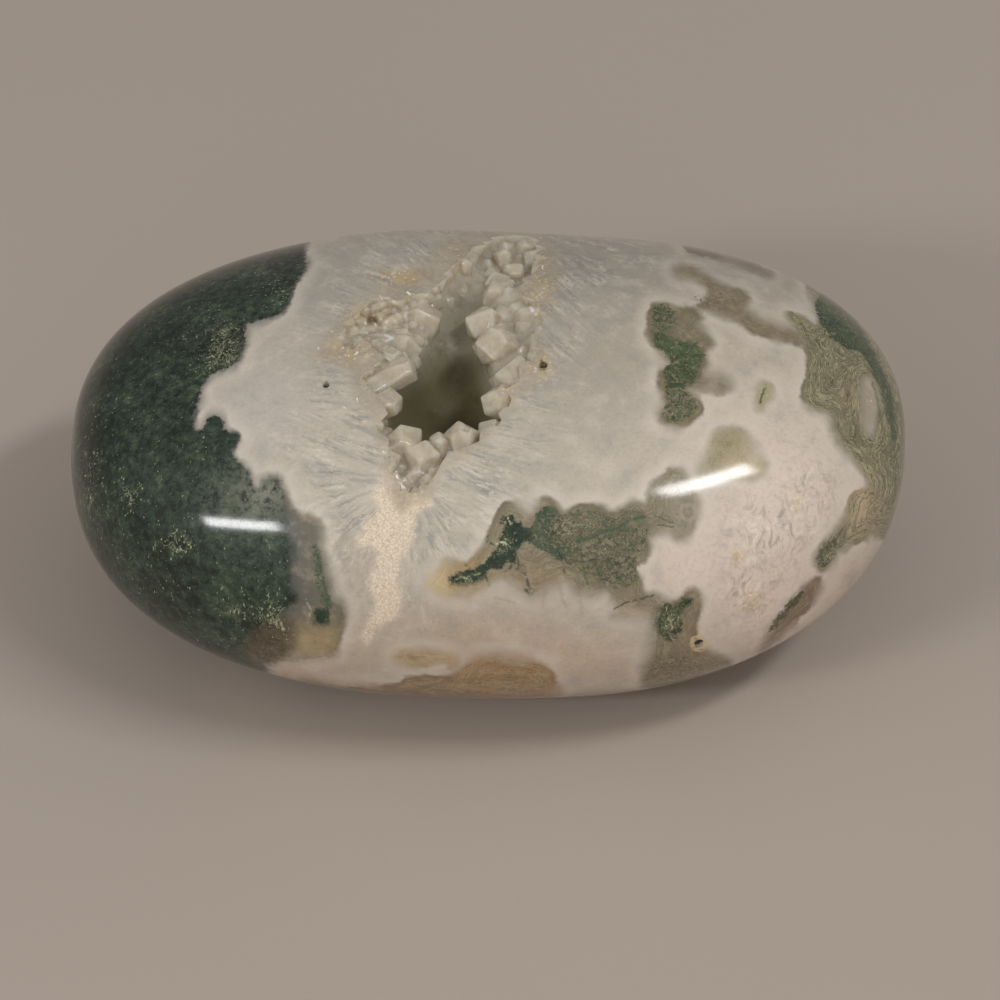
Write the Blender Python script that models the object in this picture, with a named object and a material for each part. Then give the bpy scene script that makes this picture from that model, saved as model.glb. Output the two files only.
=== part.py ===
"""Moss agate palm stone: a polished, hand-sized stone with an open vug, and the quartz crust that lines it.

Metres, +Z up. The stone lies on its broad side. X is its length, Y its width, and the vug opens upwards and
towards -Y. The origin is under the middle of the stone, on the surface that it rests on.
"""

import math
import random
from collections import namedtuple

import bmesh
import bpy
from mathutils import Matrix, Vector

MM = 0.001

# The polished stone
LENGTH = 62 * MM
WIDTH = 41 * MM
THICKNESS = 28 * MM
END_FULLNESS = 2.39  # 2 gives the ends of an ellipsoid, and more gives blunter ends
SECTION_FULLNESS = 2.25  # the same for the section across the length
BELLY_FLAT = 0.25 * MM  # how far the belly is worn flat where the stone rests
BODY_RINGS = 28  # from end to end
BODY_FACETS = 52  # round each ring

# The face that the vug is in looks up and forwards. Its axes run across, up and out from the stone's middle.
FACE_ELEVATION = math.radians(40)
FACE_AXES = (
    Vector((1, 0, 0)),
    Vector((0, math.sin(FACE_ELEVATION), math.cos(FACE_ELEVATION))),
    Vector((0, -math.cos(FACE_ELEVATION), math.sin(FACE_ELEVATION))),
)

# Polishing by hand left shoulders and flats round the outline of that face.
# Each is (degrees from +X, share of the radius).
SHOULDERS = ((75, -0.046), (22, 0.022), (-24, -0.036), (-58, 0.014), (168, 0.021))
SHOULDER_SPREAD = 0.3

# How finely the surface is searched for a point or a normal
SEARCH_STEP = 0.5 * MM
SEARCH_END = 0.0001 * MM
SMALL_TURN = 0.01

# The vug is a cluster of bays. Each is half an ellipsoid of open space that hangs below its mouth on the
# polished surface, and the crust is the quartz round it. A bay is placed on the face, in millimetres, and
# sized along the surface. Its turn is in degrees.
Bay = namedtuple("Bay", "across up half_width half_height depth turn crust")
CHAMBER = Bay(across=-3.4, up=4.9, half_width=4.7, half_height=5.2, depth=9.6, turn=0, crust=1.4)
GULLY = Bay(across=-2.4, up=11.6, half_width=2.3, half_height=7.2, depth=5.2, turn=-14, crust=1.4)
LEFT_MARGIN = Bay(across=-7.6, up=10.0, half_width=4.6, half_height=3.5, depth=2.2, turn=38, crust=1.0)
RIGHT_MARGIN = Bay(across=1.3, up=9.6, half_width=2.6, half_height=6.0, depth=2.4, turn=0, crust=1.0)
TOP_MARGIN = Bay(across=1.2, up=15.2, half_width=3.0, half_height=6.0, depth=2.6, turn=-8, crust=1.0)
LOWER_SEAM = Bay(across=-5.6, up=-0.4, half_width=1.5, half_height=2.4, depth=2.2, turn=-10, crust=0.9)
BAYS = (CHAMBER, GULLY, LEFT_MARGIN, RIGHT_MARGIN, TOP_MARGIN, LOWER_SEAM)
BAY_SUBDIVISIONS = 3
UNEVENNESS = 0.07  # share of its radius by which a bay's wall wanders
CRUST_GAP = 0.3 * MM  # between the crust and the stone

# The large crystals of the rim. A tip is placed on the face and under the polish, in millimetres. The crystal
# points along its aim, in degrees round the surface from +X, and leans out of the surface or down into it.
Crystal = namedtuple("Crystal", "across up under aim lean radius length")
RIM_CRYSTALS = (
    Crystal(across=-6.3, up=4.8, under=1.0, aim=25, lean=5, radius=1.0, length=2.6),
    Crystal(across=-7.0, up=3.3, under=0.9, aim=10, lean=15, radius=0.8, length=2.0),
    Crystal(across=-4.6, up=2.4, under=1.2, aim=15, lean=5, radius=1.1, length=3.4),
    Crystal(across=-4.0, up=1.7, under=0.6, aim=80, lean=15, radius=1.3, length=2.6),
    Crystal(across=-3.3, up=2.5, under=1.2, aim=75, lean=10, radius=0.8, length=2.0),
    Crystal(across=-2.0, up=3.1, under=0.9, aim=95, lean=10, radius=1.4, length=2.6),
    Crystal(across=-0.6, up=2.6, under=0.9, aim=130, lean=10, radius=1.0, length=1.8),
    Crystal(across=-0.6, up=4.5, under=0.8, aim=165, lean=8, radius=1.2, length=2.6),
    Crystal(across=-0.1, up=6.6, under=0.9, aim=185, lean=8, radius=1.5, length=3.0),
    Crystal(across=-0.6, up=8.6, under=0.7, aim=200, lean=12, radius=1.5, length=3.2),
    Crystal(across=-1.5, up=10.9, under=0.9, aim=200, lean=8, radius=1.4, length=2.6),
    Crystal(across=-0.4, up=13.0, under=0.6, aim=205, lean=14, radius=1.5, length=2.6),
    Crystal(across=0.8, up=15.6, under=0.2, aim=120, lean=50, radius=0.8, length=2.2),
    Crystal(across=-5.6, up=6.9, under=1.9, aim=-25, lean=-4, radius=1.6, length=4.2),
    Crystal(across=-4.9, up=10.2, under=1.4, aim=-20, lean=0, radius=1.3, length=3.4),
    Crystal(across=-4.2, up=12.8, under=1.0, aim=-10, lean=5, radius=1.1, length=2.4),
    Crystal(across=-7.2, up=0.9, under=0.7, aim=20, lean=15, radius=0.9, length=1.6),
    Crystal(across=-4.6, up=-1.0, under=0.6, aim=150, lean=15, radius=0.9, length=1.6),
    Crystal(across=-6.4, up=-1.6, under=0.7, aim=60, lean=15, radius=0.9, length=1.6),
)

# The small crystals that cover the rest of the crust, by how far its wall lies below the polish
SMALL_CRYSTAL_SEED = 11
MARGIN_DEPTH = 2.7 * MM
Coat = namedtuple("Coat", "radius reach spacing")
MARGIN_COAT = Coat(radius=(0.55 * MM, 0.95 * MM), reach=(-0.2, 0.5), spacing=1.75 * MM)
CHAMBER_COAT = Coat(radius=(0.8 * MM, 1.3 * MM), reach=(-0.55, -0.1), spacing=3.0 * MM)
CRYSTAL_ROOT = 1.2 * MM  # how far a crystal starts inside the wall
CRYSTAL_LEAN = 0.35  # how far a small crystal strays from the wall's normal
CRYSTAL_POINT = 0.7  # the height of its point, in radii
CRYSTAL_TAPER = 0.8  # its width at the root, as a share of that at the shoulder
SHOULDER_STEP = 0.14  # how far its shoulder steps up and down from one edge to the next, in radii
POINT_OFFSET = 0.25  # how far its point lies off its axis, in radii

AGATE_COLOUR = (0.42, 0.40, 0.34)
AGATE_ROUGHNESS = 0.15
QUARTZ_COLOUR = (0.42, 0.35, 0.26)
QUARTZ_ROUGHNESS = 0.2
SHARP_EDGE = math.radians(25)


def clear_scene():
    for thing in list(bpy.data.objects):
        bpy.data.objects.remove(thing, do_unlink=True)


def on_face(across, up, out=0.0):
    """A point or direction given along the face's axes, from the stone's middle."""
    right, rise, outward = FACE_AXES
    return right * across + rise * up + outward * out


def shoulder_factor(direction):
    """The shoulders and flats that polishing by hand left, as a factor of the radius."""
    factor = 1.0
    for degrees, share in SHOULDERS:
        angle = math.radians(degrees)
        toward = on_face(math.cos(angle), math.sin(angle))
        factor += share * math.exp((direction.dot(toward) - 1) / SHOULDER_SPREAD**2)
    return factor


def body_radius(direction):
    """The distance from the stone's middle to its polished surface, along a unit vector."""
    along = abs(direction.x) / (LENGTH / 2)
    across = abs(direction.y) / (WIDTH / 2)
    height = abs(direction.z) / (THICKNESS / 2)
    section = (across**SECTION_FULLNESS + height**SECTION_FULLNESS) ** (1 / SECTION_FULLNESS)
    radius = (along**END_FULLNESS + section**END_FULLNESS) ** (-1 / END_FULLNESS)
    return radius * shoulder_factor(direction)


def depth_below_polish(point):
    """How far a point lies inside the polished surface, measured towards the stone's middle."""
    return body_radius(point.normalized()) - point.length


def surface_on_face(across, up):
    """The point of the polished surface that lies straight out from a place on the face."""
    outside = WIDTH
    inside = outside
    while depth_below_polish(on_face(across, up, inside)) < 0:
        outside = inside
        inside -= SEARCH_STEP
    while outside - inside > SEARCH_END:
        middle = (inside + outside) / 2
        if depth_below_polish(on_face(across, up, middle)) > 0:
            inside = middle
        else:
            outside = middle
    return on_face(across, up, inside)


def surface_axes(point):
    """Three unit vectors at a point of the polished surface: right along it, up along it, and out of it."""
    direction = point.normalized()
    side = direction.orthogonal().normalized()
    nearby = []
    for turn in (side, direction.cross(side)):
        moved = (direction + turn * SMALL_TURN).normalized()
        nearby.append(moved * body_radius(moved) - point)
    outward = nearby[0].cross(nearby[1]).normalized()
    right = (FACE_AXES[0] - outward * FACE_AXES[0].dot(outward)).normalized()
    return right, outward.cross(right), outward


def new_object(name, bm):
    mesh = bpy.data.meshes.new(name)
    bmesh.ops.triangulate(bm, faces=bm.faces)
    bm.to_mesh(mesh)
    bm.free()
    thing = bpy.data.objects.new(name, mesh)
    bpy.context.scene.collection.objects.link(thing)
    return thing


def boolean(target, cutter, operation, itself=False):
    """Applies one exact Boolean to the target's mesh and removes the cutter."""
    modifier = target.modifiers.new(operation, "BOOLEAN")
    modifier.operation = operation
    modifier.solver = "EXACT"
    modifier.use_self = itself
    modifier.object = cutter
    bpy.context.view_layer.update()
    graph = bpy.context.evaluated_depsgraph_get()
    result = bpy.data.meshes.new_from_object(target.evaluated_get(graph))
    target.modifiers.clear()
    old = target.data
    target.data = result
    bpy.data.meshes.remove(old)
    bpy.data.objects.remove(cutter, do_unlink=True)


def keep_largest_body(thing):
    """Deletes every separate closed shell of a mesh but the one with the most volume."""
    bm = bmesh.new()
    bm.from_mesh(thing.data)
    left = set(bm.faces)
    shells = []
    while left:
        shell, frontier = set(), [left.pop()]
        while frontier:
            face = frontier.pop()
            shell.add(face)
            for link in face.edges:
                for near in link.link_faces:
                    if near in left:
                        left.discard(near)
                        frontier.append(near)
        volume = sum(f.verts[0].co.dot(f.verts[1].co.cross(f.verts[2].co)) for f in shell) / 6
        shells.append((volume, shell))
    shells.sort(key=lambda pair: pair[0])
    doomed = [face for _, shell in shells[:-1] for face in shell]
    bmesh.ops.delete(bm, geom=doomed, context="FACES")
    bm.to_mesh(thing.data)
    bm.free()


def make_body(name):
    """The polished stone with no vug, its belly worn flat, about its own middle."""
    bm = bmesh.new()
    bmesh.ops.create_uvsphere(bm, u_segments=BODY_FACETS, v_segments=BODY_RINGS, radius=1)
    half = Vector((LENGTH / 2, WIDTH / 2, THICKNESS / 2))
    for vert in bm.verts:
        direction = (vert.co.zyx * half).normalized()
        vert.co = direction * body_radius(direction)
    floor = min(vert.co.z for vert in bm.verts) + BELLY_FLAT
    for vert in bm.verts:
        vert.co.z = max(vert.co.z, floor)
    bmesh.ops.reverse_faces(bm, faces=bm.faces)
    return new_object(name, bm)


def wander(direction, seed):
    """A smooth uneven factor near 1, which keeps a bay from being a plain ellipsoid."""
    waves = math.sin(3.1 * direction.x + 1.7 * seed) * math.cos(2.7 * direction.y - seed)
    waves += math.sin(4.3 * direction.z + 2.3 * seed + 2.0 * direction.x)
    return 1 + UNEVENNESS * waves / 2


def make_bay(name, bay, seed, growth):
    """A bay's open space grown on all sides: an uneven ellipsoid, deep below its mouth and low above it."""
    mouth = surface_on_face(bay.across * MM, bay.up * MM)
    right, rise, outward = surface_axes(mouth)
    spin = Matrix.Rotation(math.radians(bay.turn), 3, outward)
    right, rise = spin @ right, spin @ rise
    half_width = bay.half_width * MM + growth
    half_height = bay.half_height * MM + growth
    depth = bay.depth * MM + growth
    above = min(half_width, half_height)
    bm = bmesh.new()
    bmesh.ops.create_icosphere(bm, subdivisions=BAY_SUBDIVISIONS, radius=1)
    for vert in bm.verts:
        factor = wander(vert.co, seed)
        height = depth if vert.co.z < 0 else above
        along = right * vert.co.x * half_width + rise * vert.co.y * half_height
        vert.co = mouth + (along + outward * vert.co.z * height) * factor
    return new_object(name, bm)


def join_bays(name, crust_share, gap=0.0):
    """All the bays in one closed mesh, each grown by a share of its crust's thickness, less a gap."""
    joined = None
    for seed, bay in enumerate(BAYS):
        one = make_bay(name, bay, seed, bay.crust * MM * crust_share - gap)
        if joined is None:
            joined = one
        else:
            boolean(joined, one, "UNION")
    return joined


def add_crystal(bm, tip, axis, radius, length, spin):
    """A hexagonal quartz point: a prism with a stepped shoulder and a six-sided end, its point off the axis."""
    side = axis.orthogonal().normalized()
    other = axis.cross(side)
    shoulder = tip - axis * radius * CRYSTAL_POINT
    root = tip - axis * (length + CRYSTAL_ROOT)
    lower, upper = [], []
    for k in range(6):
        angle = spin + math.radians(60 * k)
        spoke = side * math.cos(angle) + other * math.sin(angle)
        step = SHOULDER_STEP if k % 2 else -SHOULDER_STEP
        lower.append(bm.verts.new(root + spoke * radius * CRYSTAL_TAPER))
        upper.append(bm.verts.new(shoulder + spoke * radius + axis * radius * step))
    off_middle = (side * math.cos(spin * 5) + other * math.sin(spin * 3)) * radius * POINT_OFFSET
    point = bm.verts.new(tip + off_middle)
    foot = bm.verts.new(root)
    for k in range(6):
        after = (k + 1) % 6
        bm.faces.new((lower[k], lower[after], upper[after], upper[k]))
        bm.faces.new((upper[k], upper[after], point))
        bm.faces.new((lower[after], lower[k], foot))


def add_rim_crystals(bm, chance):
    for crystal in RIM_CRYSTALS:
        place = surface_on_face(crystal.across * MM, crystal.up * MM)
        right, rise, outward = surface_axes(place)
        aim, lean = math.radians(crystal.aim), math.radians(crystal.lean)
        axis = (right * math.cos(aim) + rise * math.sin(aim)) * math.cos(lean) + outward * math.sin(lean)
        tip = place - outward * crystal.under * MM
        add_crystal(bm, tip, axis, crystal.radius * MM, crystal.length * MM, chance.uniform(0, math.tau))


def add_small_crystals(bm, chance, space):
    """Crystals on the wall of the open space: small and close at the margins, wide and low in the chamber."""
    walls = [(face.center.copy(), face.normal.copy()) for face in space.data.polygons]
    chance.shuffle(walls)
    placed = []
    for centre, normal in walls:
        depth = depth_below_polish(centre)
        coat = MARGIN_COAT if depth < MARGIN_DEPTH else CHAMBER_COAT
        if depth < 0 or any((centre - other).length < coat.spacing for other in placed):
            continue
        placed.append(centre)
        stray = Vector([chance.uniform(-1, 1) for _ in range(3)]) * CRYSTAL_LEAN
        axis = (stray - normal).normalized()
        radius = chance.uniform(*coat.radius)
        length = radius * (chance.uniform(*coat.reach) + CRYSTAL_POINT)
        add_crystal(bm, centre + axis * length, axis, radius, length, chance.uniform(0, math.tau))


def make_crystals(name, space):
    chance = random.Random(SMALL_CRYSTAL_SEED)
    bm = bmesh.new()
    add_rim_crystals(bm, chance)
    add_small_crystals(bm, chance, space)
    return new_object(name, bm)


def make_stone():
    """The polished stone with the vug cut into it."""
    stone = make_body("stone")
    boolean(stone, join_bays("vug", crust_share=1), "DIFFERENCE")
    return stone


def make_crust():
    """The crust fills the vug up to the polish, but for the open space, less the crystals that stand in it."""
    crust = join_bays("quartz_crust", crust_share=1, gap=CRUST_GAP)
    boolean(crust, make_body("body"), "INTERSECT")
    space = join_bays("space", crust_share=0)
    boolean(space, make_crystals("crystals", space), "DIFFERENCE", itself=True)
    keep_largest_body(space)
    boolean(crust, space, "DIFFERENCE")
    keep_largest_body(crust)
    return crust


def material(name, colour, roughness):
    made = bpy.data.materials.new(name)
    made.use_nodes = True
    shader = made.node_tree.nodes["Principled BSDF"]
    shader.inputs["Base Color"].default_value = (*colour, 1)
    shader.inputs["Roughness"].default_value = roughness
    shader.inputs["Metallic"].default_value = 0.0
    return made


def finish(thing, surface, move):
    """Moves a piece into the part's frame, shades it smooth but for real edges, and gives it its material."""
    thing.data.transform(Matrix.Translation(move))
    thing.data.shade_smooth()
    thing.data.set_sharp_from_angle(angle=SHARP_EDGE)
    thing.data.materials.clear()
    thing.data.materials.append(surface)


def main():
    clear_scene()
    stone = make_stone()
    crust = make_crust()
    corners = [vert.co for vert in stone.data.vertices]
    low = Vector([min(corner[i] for corner in corners) for i in range(3)])
    high = Vector([max(corner[i] for corner in corners) for i in range(3)])
    move = Vector((-(low.x + high.x) / 2, -(low.y + high.y) / 2, -low.z))
    finish(stone, material("polished_agate", AGATE_COLOUR, AGATE_ROUGHNESS), move)
    finish(crust, material("quartz", QUARTZ_COLOUR, QUARTZ_ROUGHNESS), move)


main()
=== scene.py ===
"""The looks of the moss agate palm stone.

The polished stone and the quartz of its vug are built again as dense meshes, from the sizes of their solids.
The markings are outlines that were read off the photo. Each vertex keeps its distance to them, in
millimetres, and the material turns those distances into moss, halo and seam, with finer detail from noise.
Lengths are in millimetres from the stone's middle, until a mesh becomes an object.
"""

import math
import random
from collections import namedtuple

import bmesh
import bpy
import numpy as np
from mathutils import Matrix, Vector, noise


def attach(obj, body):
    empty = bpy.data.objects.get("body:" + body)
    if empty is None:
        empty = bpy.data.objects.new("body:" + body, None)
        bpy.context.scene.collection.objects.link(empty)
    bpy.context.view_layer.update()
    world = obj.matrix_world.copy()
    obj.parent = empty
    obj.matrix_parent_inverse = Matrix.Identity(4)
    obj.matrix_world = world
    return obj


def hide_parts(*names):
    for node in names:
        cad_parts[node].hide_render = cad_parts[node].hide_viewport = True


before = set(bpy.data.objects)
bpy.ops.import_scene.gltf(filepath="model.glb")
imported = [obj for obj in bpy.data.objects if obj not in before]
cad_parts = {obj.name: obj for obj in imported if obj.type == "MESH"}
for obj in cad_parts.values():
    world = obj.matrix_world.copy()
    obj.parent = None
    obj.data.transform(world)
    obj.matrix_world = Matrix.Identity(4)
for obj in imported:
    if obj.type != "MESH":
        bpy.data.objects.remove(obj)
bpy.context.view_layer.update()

MM = 0.001

# The polished stone, as in its solid
LENGTH = 62.0
WIDTH = 41.0
THICKNESS = 28.0
END_FULLNESS = 2.39
SECTION_FULLNESS = 2.25
BELLY_FLAT = 0.25
HALF_SIZES = np.array((LENGTH, WIDTH, THICKNESS)) / 2
BODY_CUTS = (160, 106, 74)  # rows of faces along X, Y and Z

# The face that the vug is in looks up and forwards. Its axes run across, up and out from the stone's middle.
FACE_ELEVATION = math.radians(40)
FACE_AXES = np.array((
    (1, 0, 0),
    (0, math.sin(FACE_ELEVATION), math.cos(FACE_ELEVATION)),
    (0, -math.cos(FACE_ELEVATION), math.sin(FACE_ELEVATION)),
))

# The shoulders and flats round the outline of that face: degrees from +X, and share of the radius
SHOULDERS = ((75, -0.046), (22, 0.022), (-24, -0.036), (-58, 0.014), (168, 0.021))
SHOULDER_SPREAD = 0.3

# How the polish is found from outside, and how far apart its slope is measured
SEARCH_STEP = 0.5
SEARCH_END = 0.0001
SMALL_TURN = 0.01

# The bays of the vug, like those in its solid but nearer to the photo. Turns are in degrees.
Bay = namedtuple("Bay", "across up half_width half_height depth turn crust")
CHAMBER = Bay(-3.4, 4.9, 4.7, 5.2, 9.6, 0, 1.4)
THROAT = Bay(-3.0, 7.2, 2.9, 6.2, 7.2, -6, 1.2)
GULLY = Bay(-2.4, 11.6, 2.3, 7.2, 3.4, -14, 1.4)
LEFT_SHELF = Bay(-7.8, 6.0, 2.6, 1.5, 1.4, 35, 1.0)
LEFT_MARGIN = Bay(-7.6, 10.0, 4.6, 3.5, 0.9, 38, 1.0)
RIGHT_MARGIN = Bay(1.3, 9.6, 2.6, 6.0, 1.5, 0, 1.0)
TOP_MARGIN = Bay(1.2, 15.2, 3.0, 6.0, 1.7, -8, 1.0)
LOWER_SEAM = Bay(-5.6, -0.2, 2.1, 2.8, 1.5, -10, 0.9)
LEFT_RIM = Bay(-7.2, 2.9, 1.5, 2.2, 0.9, -15, 0.8)
LOWER_RIM = Bay(-2.2, 2.6, 3.0, 1.5, 0.9, 22, 0.8)
RIGHT_RIM = Bay(0.5, 5.2, 1.4, 2.4, 0.9, -12, 0.8)
BAYS = (CHAMBER, THROAT, GULLY, LEFT_SHELF, LEFT_MARGIN, RIGHT_MARGIN, TOP_MARGIN, LOWER_SEAM, LEFT_RIM,
        LOWER_RIM, RIGHT_RIM)
BAY_SUBDIVISIONS = 5
UNEVENNESS = 0.07  # share of a bay's size
RAGGEDNESS = 0.22  # how far a bay's wall is rough
RAGGED_SIZE = 0.9  # from one bump to the next

# The large crystals of the rim. A lean of 90 degrees points straight out of the stone.
Crystal = namedtuple("Crystal", "across up under aim lean radius length")
RIM_CRYSTALS = (
    Crystal(-6.4, 4.8, 0.5, 15, 20, 1.15, 3.0),
    Crystal(-5.1, 2.3, 0.6, 25, 35, 1.4, 3.2),
    Crystal(-4.8, 1.7, 0.4, 80, 50, 1.5, 3.0),
    Crystal(-3.7, 2.4, 0.8, 85, 35, 0.9, 2.4),
    Crystal(-2.3, 3.1, 0.6, 100, 30, 1.35, 3.0),
    Crystal(-0.8, 3.1, 0.7, 140, 30, 1.0, 2.4),
    Crystal(-0.7, 5.0, 0.5, 170, 30, 1.4, 3.0),
    Crystal(0.4, 6.7, 0.3, 185, 50, 1.9, 3.6),
    Crystal(-1.0, 8.9, 0.4, 205, 40, 1.6, 3.6),
    Crystal(2.0, 11.0, 0.3, 200, 60, 1.4, 2.4),
    Crystal(-1.6, 11.1, 0.8, 200, 45, 1.5, 3.2),
    Crystal(-0.1, 13.2, 0.4, 215, 50, 1.5, 3.0),
    Crystal(1.4, 14.8, 0.3, 230, 60, 0.9, 2.0),
    Crystal(0.7, 16.1, 0.2, 120, 60, 0.7, 1.8),
    Crystal(3.3, 15.2, 0.3, 200, 60, 0.8, 1.8),
    Crystal(3.3, 12.8, 0.3, 190, 60, 1.1, 1.8),
    Crystal(-5.5, 7.6, 0.95, 35, 5, 1.2, 4.8),
    Crystal(-5.2, 8.6, 1.2, -25, 10, 1.4, 3.4),
    Crystal(-3.9, 10.8, 0.8, -30, 30, 1.6, 3.4),
    Crystal(-4.4, 12.9, 0.6, -10, 40, 1.1, 2.4),
    Crystal(-7.4, 8.4, 0.5, -30, 45, 1.3, 2.2),
    Crystal(-6.3, -1.3, 0.3, 60, 50, 1.1, 1.8),
    Crystal(-4.7, -0.8, 0.5, 120, 50, 1.2, 2.0),
)

# The small crystals between them: sugar on the left, blocks elsewhere
SMALL_CRYSTAL_SEED = 11
MARGIN_DEPTH = 2.1  # how far below the polish they reach
SUGAR_EDGE = -4.2  # the sugar lies to the left of this
Coat = namedtuple("Coat", "radius reach spacing")
SUGAR_COAT = Coat(radius=(0.3, 0.8), reach=(-0.3, 0.5), spacing=0.6)
BLOCK_COAT = Coat(radius=(0.6, 1.2), reach=(-0.3, 0.2), spacing=1.4)

# A crystal's form. All but its root and its lean are shares of its radius.
CRYSTAL_ROOT = 1.2  # how far it goes on into the wall
CRYSTAL_LEAN = 0.35  # how far a small one strays from square to the wall
CRYSTAL_POINT = 0.7  # from its shoulder to its tip
CRYSTAL_TAPER = 0.8  # its radius at the root
SHOULDER_STEP = 0.14  # how far its shoulder goes up and down
POINT_OFFSET = 0.25  # how far its tip is off the axis
SHARP_EDGE = math.radians(25)
Softness = namedtuple("Softness", "voxel steps")
CRYSTAL_SOFTNESS = Softness(voxel=0.1, steps=1)
WALL_SOFTNESS = Softness(voxel=0.3, steps=80)

# The photo's view, square to the vug's face
VIEW_DISTANCE = 360.0
PIXELS_PER_MM = 13.32  # at the stone's middle
PHOTO_MIDDLE = np.array((492.0, 458.3))  # where the stone's middle is in the photo
PHOTO_SIZE = 1000
SENSOR_WIDTH = 36.0
VIEW_STEPS = 4  # rounds of finding the polish that a pixel shows

# How the stone's faces keep the markings
LOOP_STEPS = 4  # points of a rounded outline for each corner
CATMULL_ROM = np.array(((0, 2, 0, 0), (-1, 0, 1, 0), (2, -5, 4, -1), (-1, 3, -3, 1))) / 2
TINY = 1e-9  # keeps a division from failing
FAR = 20.0
POLISH_DEPTH = 0.03
VIEW_FADE = (-0.25, 0.12)  # from the guessed markings to those of the photo, by how squarely a place is seen
# These thread settings, and REFINE_REACHES, draw the painted glints as well.
THREAD_WOBBLE = 1.4
THREAD_BEND = 0.5
THREAD_SEED = 7  # without a seed the wobble would differ from run to run
THREAD_EDGE = (1.6, 0.4)  # where a thread starts and is full, by its half width
RING_STEPS = 17
REFINE_REACHES = (0.6, 0.35)  # how near a thread the faces are split, each time in four
BLEND_SHARPNESS = 4.0
BLEND_LIMIT = 9.0
FIBRE_REACH = (4.5, 13.0)
FIBRE_RADIUS = 4.0
FIBRE_STRETCH = 0.12

# The studio
FLOOR_HALF = 1.5
CLIP_START = 0.01
ROOM_COLOUR = (1.0, 0.965, 0.925, 1.0)
ROOM_FRONT = (0, 12)  # its brightest part: degrees to the right of the stone's front, and above level
ROOM_FADE = (-0.7, 0.8)
ROOM_LIGHT = (0.22, 0.66)  # behind the stone, and in front of it
LAMP_DISTANCE = 0.6
Lamp = namedtuple("Lamp", "start end width power")
LAMPS = (
    Lamp(start=(-57.4, 22.6), end=(-38.2, 33.4), width=0.055, power=0.9),
    Lamp(start=(41.4, 57.4), end=(79.2, 51.6), width=0.055, power=1.0),
)

# How the markings look in the photo. Outlines are in its pixels, read off clockwise, and colours
# are what it shows, 0 to 255.
LEFT_EDGE = (
    (297, 511), (312, 514), (322, 522), (325, 537), (324, 545), (328, 560), (334, 581), (335, 593),
    (345, 602), (347, 614), (345, 631), (339, 646), (330, 657), (278, 660),
)
LEFT_END = (
    (312, 226), (311, 237), (307, 250), (309, 266), (303, 277), (296, 287), (292, 300), (284, 314),
    (270, 321), (253, 325), (248, 329), (248, 342), (244, 354), (239, 365), (228, 371), (213, 377),
    (205, 386), (202, 402), (197, 417), (197, 428), (202, 425), (207, 415), (219, 413), (226, 421),
    (228, 428), (238, 430), (242, 438), (238, 448), (235, 454), (244, 463), (251, 472), (257, 486),
    (261, 480), (270, 474), (280, 476), (286, 489), *LEFT_EDGE, (257, 659), (270, 672), (250, 720),
    (0, 720), (0, 180),
)
LEFT_CLEARING = (
    (286, 490), *LEFT_EDGE, (262, 640), (281, 615), (298, 600), (291, 583), (293, 550), (287, 524),
    (284, 504),
)
LEFT_LOWER = ((232, 640), (252, 622), (286, 621), (292, 640), (276, 660), (240, 662))
LEFT_STREAK = ((313, 548), (318, 552), (324, 584), (331, 604), (325, 607), (317, 584))
LEFT_KNOT = ((316, 612), (322, 609), (328, 613), (327, 622), (320, 624), (315, 619))

MIDDLE = (
    (426, 583), (436, 572), (447, 558), (466, 560), (478, 550), (484, 539), (491, 523), (496, 512),
    (502, 504), (512, 502), (522, 508), (530, 511), (535, 504), (542, 496), (551, 497), (559, 503),
    (564, 511), (572, 506), (583, 502), (597, 503), (610, 510), (615, 511), (622, 506), (631, 501),
    (640, 501), (647, 503), (647, 490), (655, 479), (668, 469), (680, 468), (690, 475), (698, 490),
    (700, 508), (695, 528), (686, 540), (675, 540), (669, 534), (653, 538), (651, 546), (647, 561),
    (637, 567), (643, 581), (645, 591), (657, 593), (667, 600), (678, 598), (688, 589), (698, 589),
    (702, 600), (700, 616), (698, 634), (706, 648), (722, 655), (733, 666), (720, 700), (650, 696),
    (641, 671), (649, 655), (650, 640), (650, 624), (645, 619), (625, 618), (612, 616), (618, 611),
    (611, 601), (607, 594), (594, 596), (578, 596), (564, 584), (546, 594), (530, 597), (505, 582),
    (494, 584), (470, 597), (446, 597), (433, 591),
)
BRANCH = (
    (449, 579), (462, 573), (474, 569), (486, 561), (495, 552), (499, 545), (502, 534), (505, 528),
    (505, 518), (512, 515), (516, 522), (524, 526), (534, 532), (530, 540), (521, 544), (516, 552),
    (514, 563), (506, 560), (500, 569), (490, 569), (484, 578), (470, 583), (454, 584),
)
MIDDLE_MOSS = (
    (528, 536), (541, 518), (552, 507), (560, 516), (585, 512), (606, 515), (632, 511), (645, 517),
    (646, 532), (640, 548), (632, 562), (636, 579), (622, 585), (606, 582), (592, 572), (574, 566),
    (558, 553), (542, 546),
)
MIDDLE_KNOT = (
    (538, 514), (548, 506), (556, 512), (558, 524), (566, 536), (560, 548), (548, 545), (535, 537),
)
MIDDLE_VEIN = (
    (526, 534), (545, 540), (558, 549), (574, 541), (592, 532), (612, 524), (614, 531), (594, 540),
    (574, 551), (562, 560), (548, 552), (532, 544),
)
LOWER_MOSS = (
    (657, 612), (664, 604), (676, 606), (684, 598), (690, 602), (680, 614), (682, 628), (672, 641),
    (662, 636), (656, 624),
)
LOWER_DARK = ((650, 660), (668, 655), (700, 662), (700, 676), (668, 682), (650, 676))

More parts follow.
